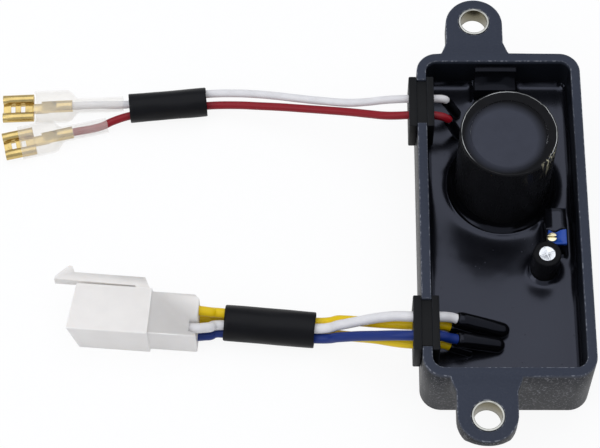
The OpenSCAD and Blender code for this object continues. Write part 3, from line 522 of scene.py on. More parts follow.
def natural_nylon(colour):
    """Natural moulded nylon: milky white with paler painted edges for the light it lets into them, and a soft
    mould sheen.
    """
    material, tree, place = start_material("natural_moulded_nylon")
    cloud = add(tree, "ShaderNodeTexNoise", {"Vector": place, "Scale": per_metre(5), "Detail": 4.0})
    milky = add(tree, "ShaderNodeMix", {
        "Factor": cloud, "A": shade(colour, 0.92), "B": shade(colour, 1.05)}, data_type="RGBA")
    # Painted light: the rounded edges are drawn paler, for light that the milky nylon lets into them.
    crown_share = add(tree, "ShaderNodeAttribute", attribute_name=BEVEL_CROWN).outputs["Fac"]
    pale = add(tree, "ShaderNodeMath", {0: crown_share, 1: 0.6}, operation="MULTIPLY")
    return finish_material(material, tree, colour, {
        "Base Color": add(tree, "ShaderNodeMix", {
            "Factor": pale, "A": milky, "B": linear("f2eee8")}, data_type="RGBA"),
        "Roughness": add(tree, "ShaderNodeMapRange", {"Value": cloud, "To Min": 0.32, "To Max": 0.46}),
        "Normal": add(tree, "ShaderNodeBump", {"Height": cloud, "Strength": 0.08, "Distance": 0.2 * MM}),
        "IOR": 1.53, "Subsurface Weight": 0.9, "Subsurface Radius": (5.0 * MM, 4.8 * MM, 4.5 * MM)})


def hidden_finish(name, size_mm, dark, light, roughness):
    """Finish of a part under the fill: two tones with a fine grain."""
    material, tree, place = start_material(name)
    grain = add(tree, "ShaderNodeTexNoise", {"Vector": place, "Scale": per_metre(size_mm), "Detail": 4.0})
    return finish_material(material, tree, linear(dark), {
        "Base Color": add(tree, "ShaderNodeMix", {
            "Factor": grain, "A": linear(dark), "B": linear(light)}, data_type="RGBA"),
        "Roughness": roughness})


def studio_paper():
    """White paper floor: white to the eye, and still takes the object's shadow."""
    material, tree, place = start_material("white_studio_paper")
    # Real fibres are finer than this: they are drawn as coarse as they need to be to show
    fibres = add(tree, "ShaderNodeTexNoise", {"Vector": place, "Scale": per_metre(3), "Detail": 2.0})
    tint = add(tree, "ShaderNodeMix", {
        "Factor": fibres, "A": linear("f2f2f2"), "B": linear("f8f8f8")}, data_type="RGBA")
    paper = add(tree, "ShaderNodeBsdfDiffuse", {"Color": tint})
    glow = add(tree, "ShaderNodeEmission", {"Color": (1, 1, 1, 1), "Strength": 1.0})
    path = add(tree, "ShaderNodeLightPath").outputs
    seen = path["Is Camera Ray"]
    for kind in ("Is Glossy Ray", "Is Transmission Ray"):
        seen = add(tree, "ShaderNodeMath", {0: seen, 1: path[kind]}, operation="MAXIMUM")
    shadowed = add(tree, "ShaderNodeMath", {0: seen, 1: 0.9}, operation="MULTIPLY")
    mixed = add(tree, "ShaderNodeMixShader", {"Fac": shadowed, 1: paper, 2: glow})
    add(tree, "ShaderNodeOutputMaterial", {"Surface": mixed})
    return material


# Mesh helpers


def new_piece(name, bm, material, smooth_angle=35):
    """A finished object at the origin from a bmesh, shaded smooth up to the given angle."""
    mesh = bpy.data.meshes.new(name)
    bm.to_mesh(mesh)
    bm.free()
    mesh.materials.append(material)
    mesh.shade_smooth()
    mesh.set_sharp_from_angle(angle=math.radians(smooth_angle))
    piece = bpy.data.objects.new(name, mesh)
    bpy.context.collection.objects.link(piece)
    return piece


def place_piece(piece, slot, *nodes, body=STATIC):
    """Lets a piece ride on its body and stand for its solids."""
    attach(piece, body)
    if nodes:
        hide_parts(*nodes)
    return piece


def softened(node, name, material, slot, edge, body=STATIC, segments=2, shortest=0.0, lowest=-1.0):
    """A merged copy of a solid with rounded edges, which stands for it. Their crowns are noted for pale
    edges: wear and dust, and on some finishes painted highlight.

    Edges up to the shortest length or below the lowest height stay sharp.
    """
    bm = bmesh.new()
    bm.from_mesh(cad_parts[node].data)
    bmesh.ops.remove_doubles(bm, verts=bm.verts, dist=MERGE_GAP)
    bmesh.ops.dissolve_limit(bm, angle_limit=FLAT_ANGLE, verts=bm.verts, edges=bm.edges)
    sharp = [e for e in bm.edges if len(e.link_faces) == 2 and e.is_convex
             and e.calc_face_angle() > SHARP_ANGLE and e.calc_length() > shortest
             and min(v.co.z for v in e.verts) > lowest]
    rounded = bmesh.ops.bevel(
        bm, geom=sharp, offset=edge, offset_type="OFFSET", segments=segments, profile=0.5, affect="EDGES",
        clamp_overlap=False)
    new_faces = set(rounded["faces"])
    crown = bm.verts.layers.float.new(BEVEL_CROWN)
    for vert in bm.verts:
        vert[crown] = float(all(face in new_faces for face in vert.link_faces))
    return place_piece(new_piece(name, bm, material, 50), slot, node, body=body)


def paint_node(node, material):
    """Gives a solid that stays its finish."""
    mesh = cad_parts[node].data
    mesh.materials.clear()
    mesh.materials.append(material)


def closed_rings(rings, wrap):
    """A bmesh skin over rings of points: wrap joins the last to the first, or else both ends are capped."""
    bm = bmesh.new()
    rows = [[bm.verts.new(p) for p in ring] for ring in rings]
    count = len(rows)
    for i in range(count if wrap else count - 1):
        lower, upper = rows[i], rows[(i + 1) % count]
        size = len(lower)
        for k in range(size):
            bm.faces.new((lower[k], lower[(k + 1) % size], upper[(k + 1) % size], upper[k]))
    if not wrap:
        bm.faces.new(list(reversed(rows[0])))
        bm.faces.new(rows[-1])
    bmesh.ops.recalc_face_normals(bm, faces=bm.faces)
    return bm


def turned_rings(profile, centre, sides, swell=None):
    """Rings of a turned shape from (radius, height) pairs. swell changes the radius by angle and height."""
    rings = []
    for radius, height in profile:
        ring = []
        for k in range(sides):
            angle = 2 * math.pi * k / sides
            r = radius + (swell(angle, height) if swell else 0)
            ring.append((centre[0] + r * math.cos(angle), centre[1] + r * math.sin(angle), height))
        rings.append(ring)
    return rings


def arc(centre, radius, start, end, steps):
    """Points of a profile arc between two angles in degrees."""
    angles = [math.radians(start + (end - start) * i / steps) for i in range(steps + 1)]
    return [(centre[0] + radius * math.cos(a), centre[1] + radius * math.sin(a)) for a in angles]


def centre_of(node):
    """Middle of a solid in plan, its radius along X, and its lowest and highest points."""
    low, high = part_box(node)
    return ((low[0] + high[0]) / 2, (low[1] + high[1]) / 2), (high[0] - low[0]) / 2, low[2], high[2]


# Pieces


def build_case(sizes, colours):
    """Case with its ears, and the bushings pressed into them."""
    low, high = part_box("housing")
    fill_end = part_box("potting_compound")[1][1]
    half = ((high[0] - low[0]) / 2 - CASE_WALL / 2, fill_end + CASE_WALL / 2, 0.0)
    plastic = moulded_case_plastic(opaque(colours.case), half, high[2])
    softened("housing", "case_shell", plastic, "case", sizes.case_edge, segments=3, lowest=SHARP_BELOW)
    axis = [abs(v) for v in centre_of("ear_bushing_far")[0]]
    plate = zinc_plate(axis, BUSHING_BORE)
    for end in ("far", "near"):
        softened(f"ear_bushing_{end}", f"bushing_{end}", plate, "bushing", sizes.metal_edge)


def build_grommets(sizes):
    """Rubber grommets in the wall slots."""
    rubber = grommet_rubber()
    for end in ("upper", "lower"):
        softened(f"grommet_{end}", f"rubber_grommet_{end}", rubber, "grommet", sizes.rubber_edge)


def rounded_inside(x, y, half_w, half_l, corner):
    """A point held inside the rounded plan of the case, and its distance from the wall."""
    cx = max(abs(x) - (half_w - corner), 0)
    cy = max(abs(y) - (half_l - corner), 0)
    reach = math.hypot(cx, cy)
    if reach > corner:
        x = math.copysign(half_w - corner + cx * corner / reach, x)
        y = math.copysign(half_l - corner + cy * corner / reach, y)
        reach = corner
    if cx > 0 and cy > 0:
        gap = corner - reach
    else:
        gap = min(half_w - abs(x), half_l - abs(y))
    return x, y, gap


def box_gap(x, y, box):
    """Distance in plan from a point to a box."""
    low, high = box
    dx = max(low[0] - x, x - high[0], 0)
    dy = max(low[1] - y, y - high[1], 0)
    return math.hypot(dx, dy)


def build_resin(sizes):
    """Resin fill that climbs the walls and the parts, with coated wires standing out of it."""
    low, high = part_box("housing")
    half_w = (high[0] - low[0]) / 2 - CASE_WALL - SEAT_GAP
    half_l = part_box("potting_compound")[1][1]
    corner = CASE_CORNER - CASE_WALL - SEAT_GAP
    big, big_r, _, _ = centre_of("main_capacitor_sleeve")
    small, small_r, _, _ = centre_of("small_capacitor_sleeve")
    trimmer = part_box("trimmer_body")
    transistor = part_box("power_transistor")
    columns, rows = 96, 216
    highest_climb = 2.4 * MM
    roll_height, roll_rate = 0.08 * MM, 90
    bm = bmesh.new()
    grid = []
    for j in range(rows + 1):
        line = []
        for i in range(columns + 1):
            x, y, to_wall = rounded_inside(
                half_w * (2 * i / columns - 1), half_l * (2 * j / rows - 1), half_w, half_l, corner)
            to_skirt = max(math.hypot(x - big[0], y - big[1]) - big_r - SKIRT, 0)
            to_small = max(math.hypot(x - small[0], y - small[1]) - small_r, 0)
            # How far off each neighbour is, its share of the full climb, and the distance over which it fades
            neighbours = (
                (to_wall, 1.0, 0.6 * MM), (to_skirt, 0.4, 0.8 * MM), (to_small, 0.7, 0.55 * MM),
                (box_gap(x, y, trimmer), 0.6, 0.5 * MM), (box_gap(x, y, transistor), 0.8, 0.7 * MM))
            climb = sum(share * sizes.resin_climb * math.exp(-gap / fade) for gap, share, fade in neighbours)
            roll = roll_height * noise.noise((x * roll_rate, y * roll_rate, 0.3))
            line.append(bm.verts.new((x, y, RESIN_TOP + min(climb, highest_climb) + roll)))
        grid.append(line)
    for j in range(rows):
        for i in range(columns):
            bm.faces.new((grid[j][i], grid[j][i + 1], grid[j + 1][i + 1], grid[j + 1][i]))
    rim = grid[0] + [line[-1] for line in grid[1:]] + grid[-1][-2::-1] + [line[0] for line in grid[-2:0:-1]]
    foot = [bm.verts.new((v.co.x, v.co.y, CASE_FLOOR + SEAT_GAP)) for v in rim]
    for k, v in enumerate(rim):
        after = (k + 1) % len(rim)
        bm.faces.new((rim[after], v, foot[k], foot[after]))
    bm.faces.new(list(reversed(foot)))
    resin = potting_resin("cast_black_epoxy", 0.25, 0.42, "121318")
    coat = potting_resin("dipped_black_epoxy", 0.3, 0.25, "08080a")
    place_piece(new_piece("resin_fill", bm, resin, 60), "resin", "potting_compound")
    # The skirt is a turned collar with a hollow flank: reach beyond the capacitor, and height over the fill
    flank = [(SKIRT + 0.05 * MM, 0.3 * MM), (SKIRT - 0.05 * MM, 0.8 * MM), (0.7 * SKIRT, 1.0 * MM),
             (0.45 * SKIRT, 1.35 * MM), (0.22 * SKIRT, 1.9 * MM), (0.07 * SKIRT, 2.5 * MM),
             (-0.15 * MM, 3.0 * MM), (-0.15 * MM, 0.3 * MM)]
    collar_sides = 120
    collar = turned_rings([(big_r + out, RESIN_TOP + up) for out, up in flank], big, collar_sides)
    place_piece(new_piece("capacitor_skirt", closed_rings(collar, wrap=True), coat, 60), "resin")
    for wire, (start, end, radius, lap) in COATS.items():
        start, end = metres(start), metres(end)
        start -= (end - start).normalized() * lap * MM
        place_piece(coated_wire(f"{wire}_coat", start, end, radius * MM, coat), "resin")


def coated_wire(name, start, end, radius, material):
    """A wire end under a lumpy coat of resin that sinks into the fill."""
    along = (end - start).normalized()
    side = along.cross(Vector((0, 1, 0.2))).normalized()
    over = side.cross(along)
    length = (end - start).length + 0.9 * radius
    steps, sides = 30, 32
    # The coat starts narrow over the insulation and rounds off over the last part of its length
    tip_start, tip_share = 0.84, 0.16
    rings = []
    for i in range(steps + 1):
        t = i / steps
        middle = start + along * length * t
        round_off = math.sqrt(max(1 - max((t - tip_start) / tip_share, 0) ** 2, 0.004))
        lead_in = 0.74 + 0.26 * math.sqrt(min(t / 0.1, 1))
        ring = []
        for k in range(sides):
            a = 2 * math.pi * k / sides
            spot = (math.cos(a) * 1.3 + start.x * 90, math.sin(a) * 1.3 + start.y * 300, t * 3)
            lump = 1 - 0.09 * noise.noise(spot) ** 2
            out = side * math.cos(a) + over * math.sin(a)
            ring.append(middle + radius * round_off * lead_in * lump * out)
        rings.append(ring)
    return new_piece(name, closed_rings(rings, wrap=False), material, 60)


def build_capacitors(sizes, colours):
    """Sleeved large capacitor with its disc, and the small one with its scored can."""
    centre, radius, bottom, top = centre_of("main_capacitor_sleeve")
    # The disc colour is mostly painted sheen: the light that the can top reflects.
    disc_sheen_colour = opaque(colours.disc)
    film = shrink_film("black_shrink_film", disc_sheen_colour, centre, radius, top, 1.0)
    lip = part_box("main_capacitor_disc")
    lip_r = (lip[1][0] - lip[0][0]) / 2 + SEAT_GAP
    wall = 0.5 * MM
    bend = 0.4 * MM
    rows, sides = 40, 240
    # Both creases: direction in radians from +X, spread in radians, and depth
    creases = ((-0.75, 0.26, 0.26 * MM), (0.68, 0.2, 0.14 * MM))

    def crinkle(angle, height):
        """Film that gathers under the fold, most of all at two creases, and slackens near the resin."""
        near_top = math.exp(-(top - height) / (5 * MM))
        folds = noise.noise((math.cos(angle) * 6, math.sin(angle) * 6, height * 260))
        ripple = noise.noise((math.cos(angle) * 14, math.sin(angle) * 14, height * 420))
        crease = 0
        for middle, spread, depth in creases:
            off = (angle - middle + math.pi) % (2 * math.pi) - math.pi
            crease += depth * math.exp(-(off / spread) ** 2) * math.sin(off * 46 + 9 * folds)
        return 0.05 * MM * folds - 0.08 * MM + near_top * (0.06 * MM * ripple + 0.7 * crease)

    outer = [(radius, bottom + (top - bend - bottom) * (i / rows) ** 0.7) for i in range(rows + 1)]
    shoulder = arc((radius - bend, top - bend), bend, 10, 90, 7)
    rolled = [(lip_r + 1.2 * MM, top - 0.2 * MM), (lip_r + 0.2 * MM, top - 0.33 * MM),
              (lip_r, top - 0.4 * MM), (lip_r, top - 0.5 * MM)]
    inner = [(radius - wall, top - 0.52 * MM), (radius - wall, bottom)]
    rings = turned_rings(outer + shoulder, centre, sides, crinkle)
    rings += turned_rings(rolled + inner, centre, sides)
    cover = closed_rings(rings, wrap=True)
    place_piece(new_piece("large_capacitor_film", cover, film, 50), "shrink", "main_capacitor_sleeve")
    floor = lip[0][2]
    dish = [(lip_r - SEAT_GAP, floor), (lip_r - SEAT_GAP, top - 0.5 * MM),
            (lip_r - 0.5 * MM, top - 0.44 * MM), (lip_r * 0.7, top - 0.42 * MM),
            (lip_r * 0.35, top - 0.4 * MM), (0.3 * MM, top - 0.4 * MM)]
    disc_sides = 96
    disc = closed_rings(turned_rings(dish, centre, disc_sides), wrap=False)
    sheen_slate = vent_disc_film(disc_sheen_colour, centre)
    place_piece(new_piece("large_capacitor_disc", disc, sheen_slate, 40), "disc", "main_capacitor_disc")
    centre, radius, bottom, top = centre_of("small_capacitor_sleeve")
    bend = 0.45 * MM
    mouth = radius - 1.4 * MM
    wall = 0.25 * MM
    rows, sides = 12, 72
    profile = [(radius, bottom + (top - bend - bottom) * i / rows) for i in range(rows + 1)]
    profile += arc((radius - bend, top - bend), bend, 12, 90, 6)
    profile += [(mouth, top - 0.03 * MM), (mouth, top - 0.22 * MM), (radius - wall, top - 0.4 * MM),
                (radius - wall, bottom)]
    cover = closed_rings(turned_rings(profile, centre, sides), wrap=True)
    film = shrink_film("thin_black_shrink_film", disc_sheen_colour, centre, radius, top, 0.0)
    place_piece(new_piece("small_capacitor_film", cover, film, 50), "shrink", "small_capacitor_sleeve")
    can = drawn_aluminium()
    softened("small_capacitor_can", "small_capacitor_shell", can, "can", sizes.fine_edge)
    paint_node("main_capacitor_can", can)


def build_trimmer(sizes, colours):
    """Blue trimmer with its brass screw and the resin smeared over its far end."""
    low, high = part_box("trimmer_body")
    blue = trimmer_plastic(opaque(colours.trimmer), low, high)
    softened("trimmer_body", "trimmer_case", blue, "trimmer", sizes.trimmer_edge, shortest=0.6 * MM)
    pale = sheet_brass("pale_turned_brass", opaque(colours.screw))
    softened("trimmer_screw", "trimmer_adjuster", pale, "brass", sizes.fine_edge, body=ADJUSTER)
    # The smear is a closed skin: a domed upper layer with a tongue, and a lower layer just inside the trimmer
    overlap = 0.12 * MM
    half_w = (high[0] - low[0]) / 2 + overlap
    half_l = (high[1] - low[1]) * 0.31
    middle = ((low[0] + high[0]) / 2, high[1] - half_l + overlap)
    steps = 28
    bm = bmesh.new()
    layers = []
    for side in (1, 0):
        layer = []
        for j in range(steps + 1):
            line = []
            for i in range(steps + 1):
                u, v = 2 * i / steps - 1, 2 * j / steps - 1
                edge = max(abs(u), abs(v))
                tongue = -0.9 * MM * math.exp(-((u + 0.15) / 0.45) ** 2) * max(-v, 0) ** 2
                across = 0.8 * max((abs(u) - 0.35) / 0.65, 0) ** 1.3
                crown = 1 - across - 0.5 * max((v - 0.5) / 0.5, 0) ** 1.5
                thick = 0.55 * MM * math.sqrt(max(1 - edge ** 8, 0)) * crown
                drop = 0.3 * MM * max(edge - 0.93, 0) / 0.07
                z = high[2] + side * max(thick, 0.02 * MM) - drop - (1 - side) * 0.06 * MM
                line.append(bm.verts.new((middle[0] + u * half_w, middle[1] + v * half_l + tongue, z)))
            layer.append(line)
        layers.append(layer)
    upper, lower = layers
    for j in range(steps):
        for i in range(steps):
            bm.faces.new((upper[j][i], upper[j][i + 1], upper[j + 1][i + 1], upper[j + 1][i]))
            bm.faces.new((lower[j][i], lower[j + 1][i], lower[j + 1][i + 1], lower[j][i + 1]))
    for i in range(steps):
        for (j1, i1), (j2, i2) in (((0, i), (0, i + 1)), ((steps, i + 1), (steps, i)),
                                   ((i + 1, 0), (i, 0)), ((i, steps), (i + 1, steps))):
            bm.faces.new((lower[j1][i1], lower[j2][i2], upper[j2][i2], upper[j1][i1]))
    bmesh.ops.recalc_face_normals(bm, faces=bm.faces)
    smear = potting_resin("smeared_black_epoxy", 0.1, 0.4, "0e0f13")
    place_piece(new_piece("trimmer_resin_smear", bm, smear, 60), "resin")


def build_semiconductors(sizes):
    """Resin-coated power transistor, and the parts that the fill hides."""
    coat = potting_resin("brushed_on_black_epoxy", 0.6, 0.1, "0e0f13")
    softened("power_transistor", "coated_transistor", coat, "epoxy", sizes.plastic_edge)
    paint_node("circuit_board", hidden_finish("pressed_paper_laminate", 0.9, "7a6230", "a08446", 0.55))
    paint_node("rectifier_diodes", hidden_finish("moulded_epoxy_package", 0.4, "101012", "26262a", 0.6))
    paint_node("resistors", hidden_finish("dipped_resistor_lacquer", 1.5, "b8986a", "d3b88c", 0.4))


def build_sleeves():
    """Black tubing over each bundle, slightly out of round."""
    vinyl = sleeve_vinyl()
    rows, sides = 22, 56
    lip = 0.12 * MM
    slack = 0.05 * MM
    for node, (start, end, radius) in SLEEVES.items():
        start, end, radius = metres(start), metres(end), radius * MM
        along = (end - start).normalized()
        side = Vector((0, 0, 1)).cross(along).normalized()
        over = along.cross(side)
        length = (end - start).length

        def ring(t, r, bulge):
            """Points round the tube at a share t of its length; the ends are cut slightly askew."""
            points = []
            for k in range(sides):
                a = 2 * math.pi * k / sides
                spot = (math.cos(a) * 2, math.sin(a) * 2 + start.y * 100, t * 3)
                soft = 0.1 * MM * noise.noise(spot) * bulge
                cut = 0.15 * MM * noise.noise((math.cos(a), math.sin(a), start.y * 70 + round(t) * 9))
                points.append(start + along * (t * length + (cut if t in (0, 1) else 0))
                              + (r + soft) * (side * math.cos(a) + over * math.sin(a)))
            return points

        stops = [0, 0.012] + [0.05 + 0.9 * i / rows for i in range(rows + 1)] + [0.988, 1]
        rings = [ring(t, radius - (lip if t in (0, 1) else 0) - slack, 1) for t in stops]
        rings += [ring(t, radius - SLEEVE_WALL, 0) for t in reversed(stops)]
        place_piece(new_piece(f"{node}_tube", closed_rings(rings, wrap=True), vinyl, 60), "sleeve", node)


def build_terminals(sizes, colours):
    """Stamped brass spade terminals and their clear covers."""
    brass = sheet_brass("stamped_sheet_brass", opaque(colours.brass))
    clear = clear_vinyl()
    sides = 48
    tail_r = 1.95 * MM
    # Along the cover in millimetres, and how far it has spread there from the round tail to the flat hood
    stations = [(11.4, 0), (11.3, 0), (6, 0), (1.2, 0), (0.2, 0), (-0.4, 0.12), (-1.1, 0.45), (-1.7, 0.78),
                (-2.4, 0.95), (-3.2, 1), (-6, 1), (-10.9, 1), (-11, 1)]
    for name, origin, turn, slide in (("white", SPADE_WHITE, SPADE_WHITE_TURN, -1.5 * MM),
                                      ("red", SPADE_RED, SPADE_RED_TURN, 2.5 * MM)):
        softened(f"spade_terminal_{name}", f"spade_{name}", brass, "brass", sizes.fine_edge)
        matrix = Matrix.Translation(origin) @ Matrix.Rotation(turn, 4, "Z")

        def ring(x, spread, inset):
            """Points round the cover, between a circle and a rounded box."""
            wide = tail_r + (COVER_HALF_WIDTH - tail_r) * spread - inset
            tall = tail_r + (COVER_HALF_HEIGHT - tail_r) * spread - inset
            power = 1 - 0.42 * spread
            points = []
            for k in range(sides):
                a = 2 * math.pi * k / sides
                y = wide * math.copysign(abs(math.cos(a)) ** power, math.cos(a))
                z = tall * math.copysign(abs(math.sin(a)) ** power, math.sin(a))
                points.append(matrix @ Vector((x * MM - slide, y, z)))
            return points

        rings = [ring(x, spread, 0) for x, spread in stations]
        rings += [ring(x, spread, COVER_WALL) for x, spread in reversed(stations)]
        cover = closed_rings(rings, wrap=True)
        place_piece(new_piece(f"clear_cover_{name}", cover, clear, 50), "clear", f"terminal_cover_{name}")


def contact_tree(material):
    """Node tree that sets one stamped blade with its crimp at each of four cavities."""
    tree = bpy.data.node_groups.new("plug_contacts", "GeometryNodeTree")
    for name, default in (("Pitch", CONTACT_PITCH), ("Width", CONTACT_WIDTH), ("Thickness", CONTACT_THICK),
                          ("Length", CONTACT_LENGTH), ("Start", CONTACT_START), ("Crimp", CONTACT_CRIMP)):
        socket = tree.interface.new_socket(name, in_out="INPUT", socket_type="NodeSocketFloat")
        socket.default_value = default
        socket.subtype = "DISTANCE"
    tree.interface.new_socket("Geometry", in_out="OUTPUT", socket_type="NodeSocketGeometry")
    lay_down = (0.0, math.radians(90), 0.0)
    tip_scale = (1.0, 0.6, 0.35)
    crimp_radius = 1.15 * MM
    crimp_start = -3 * MM
    given = add(tree, "NodeGroupInput").outputs
    cavities = add(tree, "GeometryNodeMeshGrid", {
        "Size X": given["Pitch"], "Size Y": given["Pitch"], "Vertices X": 2, "Vertices Y": 2})
    upright = add(tree, "GeometryNodeTransform", {"Geometry": cavities, "Rotation": lay_down})
    blade_size = add(tree, "ShaderNodeCombineXYZ", {
        "X": given["Length"], "Y": given["Width"], "Z": given["Thickness"]})
    blade = add(tree, "GeometryNodeMeshCube", {"Size": blade_size, "Vertices X": 16})
    spot = add(tree, "GeometryNodeInputPosition")
    spot_x = add(tree, "ShaderNodeSeparateXYZ", {"Vector": spot}).outputs["X"]
    tip_x = add(tree, "ShaderNodeMath", {0: given["Length"], 1: -0.49}, operation="MULTIPLY")
    at_tip = add(tree, "ShaderNodeMath", {0: spot_x, 1: tip_x}, operation="LESS_THAN")
    narrowed = add(tree, "ShaderNodeVectorMath", {0: spot, 1: tip_scale}, operation="MULTIPLY")
    pointed = add(tree, "GeometryNodeSetPosition", {
        "Geometry": blade, "Selection": at_tip, "Position": narrowed})
    half = add(tree, "ShaderNodeMath", {0: given["Length"], 1: -0.5}, operation="MULTIPLY")
    shift = add(tree, "ShaderNodeMath", {0: half, 1: given["Start"]}, operation="ADD")
    blade_place = add(tree, "ShaderNodeCombineXYZ", {"X": shift})
    seated = add(tree, "GeometryNodeTransform", {"Geometry": pointed, "Translation": blade_place})
    barrel = add(tree, "GeometryNodeMeshCylinder", {
        "Vertices": 24, "Radius": crimp_radius, "Depth": given["Crimp"]})
    crimp_half = add(tree, "ShaderNodeMath", {0: given["Crimp"], 1: -0.5}, operation="MULTIPLY")
    crimp_shift = add(tree, "ShaderNodeMath", {0: crimp_half, 1: crimp_start}, operation="ADD")
    crimp_place = add(tree, "ShaderNodeCombineXYZ", {"X": crimp_shift})
    crimp = add(tree, "GeometryNodeTransform", {
        "Geometry": barrel, "Translation": crimp_place, "Rotation": lay_down})
    contact = add(tree, "GeometryNodeJoinGeometry")
    tree.links.new(seated.outputs["Geometry"], contact.inputs["Geometry"])
    tree.links.new(crimp.outputs["Geometry"], contact.inputs["Geometry"])
    placed = add(tree, "GeometryNodeInstanceOnPoints", {"Points": upright, "Instance": contact})
    turned = add(tree, "GeometryNodeTransform", {
        "Geometry": placed, "Translation": PLUG_REAR, "Rotation": (0.0, 0.0, PLUG_TURN)})
    real = add(tree, "GeometryNodeRealizeInstances", {"Geometry": turned})
    painted = add(tree, "GeometryNodeSetMaterial", {"Geometry": real, "Material": material})
    add(tree, "NodeGroupOutput", {"Geometry": painted})
    return tree


def build_plug(sizes, colours):
    """Nylon plug housing with its latch arm, and the contacts in its cavities."""
    nylon = natural_nylon(opaque(colours.nylon))
    softened("connector_housing", "plug_housing", nylon, "nylon", sizes.plug_edge, segments=3,
             shortest=3.5 * MM)
    brass = sheet_brass("stamped_sheet_brass", opaque(colours.brass))
    carrier = bpy.data.objects.new("contact_carrier", bpy.data.meshes.new("contact_carrier"))
    bpy.context.collection.objects.link(carrier)
    modifier = carrier.modifiers.new("plug_contacts", "NODES")
    modifier.node_group = contact_tree(brass)
    for item in modifier.node_group.interface.items_tree:
        if item.in_out == "INPUT" and item.name == "Pitch":
            modifier[item.identifier] = sizes.contact_pitch
    bpy.context.view_layer.update()
    evaluated = carrier.evaluated_get(bpy.context.evaluated_depsgraph_get())
    mesh = bpy.data.meshes.new_from_object(evaluated)
    mesh.name = "plug_contacts"
    bpy.data.objects.remove(carrier)
    contacts = bpy.data.objects.new("plug_contacts", mesh)
    bpy.context.collection.objects.link(contacts)
    place_piece(contacts, "brass", "connector_contacts")


def build_wires(sizes, colours):
    """Six wires as smooth curves through their route points."""
    insulation = {f"wire_{name}": wire_insulation(name, opaque(getattr(colours, name)))
                  for name in ("white", "red", "blue", "yellow")}
    under_coat = (0.05 * MM, 1.4 * MM)
    plan = {
        "field_wire_white": ("wire_white", FIELD_WIRE, "fitting", [
            "spade_white", "clear_cover_white", "rubber_grommet_upper", "harness_sleeve_upper_tube"]),
        "field_wire_red": ("wire_red", FIELD_WIRE, "fitting", ["spade_red", "clear_cover_red"]),
        "sense_wire_white": ("wire_white", SENSE_WIRE, "connector", [
            "plug_housing", "plug_contacts", "rubber_grommet_lower", "harness_sleeve_lower_tube"]),
        "sense_wire_blue": ("wire_blue", SENSE_WIRE, "connector", ["plug_housing"]),
        "winding_wire_a": ("wire_yellow", SENSE_WIRE, "connector", ["plug_housing"]),
        "winding_wire_b": ("wire_yellow", SENSE_WIRE, "connector", ["plug_housing"]),
    }
    for node, (slot, diameter, far_end, carried) in plan.items():
        curve = bpy.data.curves.new(f"{node}_cord", "CURVE")
        curve.dimensions = "3D"
        curve.resolution_u = 8
        curve.bevel_depth = diameter / 2
        curve.bevel_resolution = sizes.wire_facets
        curve.use_fill_caps = True
        spline = curve.splines.new("BEZIER")
        start, end = COATS[node][:2]
        along = (metres(end) - metres(start)).normalized()
        buried = [metres(start) - along * back for back in under_coat]
        points = eased(buried + [metres(p) for p in ROUTES[node]])
        spline.bezier_points.add(len(points) - 1)
        for knot, point in zip(spline.bezier_points, points):
            knot.co = point
            knot.handle_left_type = knot.handle_right_type = "AUTO"
        curve.materials.append(insulation[slot])
        wire = bpy.data.objects.new(f"{node}_cord", curve)
        bpy.context.collection.objects.link(wire)
        place_piece(wire, slot, node)
        bpy.context.view_layer.update()


def build_stage(sizes):
    """Pale floor, soft lamps and the camera at the photograph's place."""
    scene = bpy.context.scene
    scene.view_settings.view_transform = "Standard"
    mesh = bpy.data.meshes.new("studio_floor")
    corners = [(x * FLOOR_HALF, y * FLOOR_HALF, FLOOR_LEVEL) for x, y in ((-1, -1), (1, -1), (1, 1), (-1, 1))]
    mesh.from_pydata(corners, [], [(0, 1, 2, 3)])
    floor = bpy.data.objects.new("studio_floor", mesh)
    scene.collection.objects.link(floor)
    mesh.materials.append(studio_paper())
    world = bpy.data.worlds.new("studio_white")
    world.use_nodes = True
    tree = world.node_tree
    tree.nodes.clear()
    back = add(tree, "ShaderNodeBackground", {"Color": linear("eaeffa"), "Strength": sizes.world_strength})
    add(tree, "ShaderNodeOutputWorld", {"Surface": back})
    scene.world = world
    for name, (place, aim, wide, tall, power) in SOFTBOXES.items():
        lamp = bpy.data.lights.new(name, "AREA")
        lamp.shape = "RECTANGLE"
        lamp.size = wide
        lamp.size_y = tall
        lamp.energy = power
        lamp.color = LAMP_TINT
        holder = bpy.data.objects.new(name, lamp)
        holder.location = place
        holder.rotation_euler = (Vector(aim) - Vector(place)).to_track_quat("-Z", "Y").to_euler()
        scene.collection.objects.link(holder)
    camera = bpy.data.cameras.new("photo_camera")
    camera.sensor_width = CAMERA_SENSOR
    camera.lens = CAMERA_LENS
    camera.clip_start = CAMERA_NEAR
    camera.clip_end = CAMERA_FAR
    eye = bpy.data.objects.new("photo_camera", camera)
    eye.location = CAMERA_PLACE
    eye.rotation_euler = [math.radians(a) for a in CAMERA_TURN]
    scene.collection.objects.link(eye)
    scene.camera = eye


# Settings, operators and panel


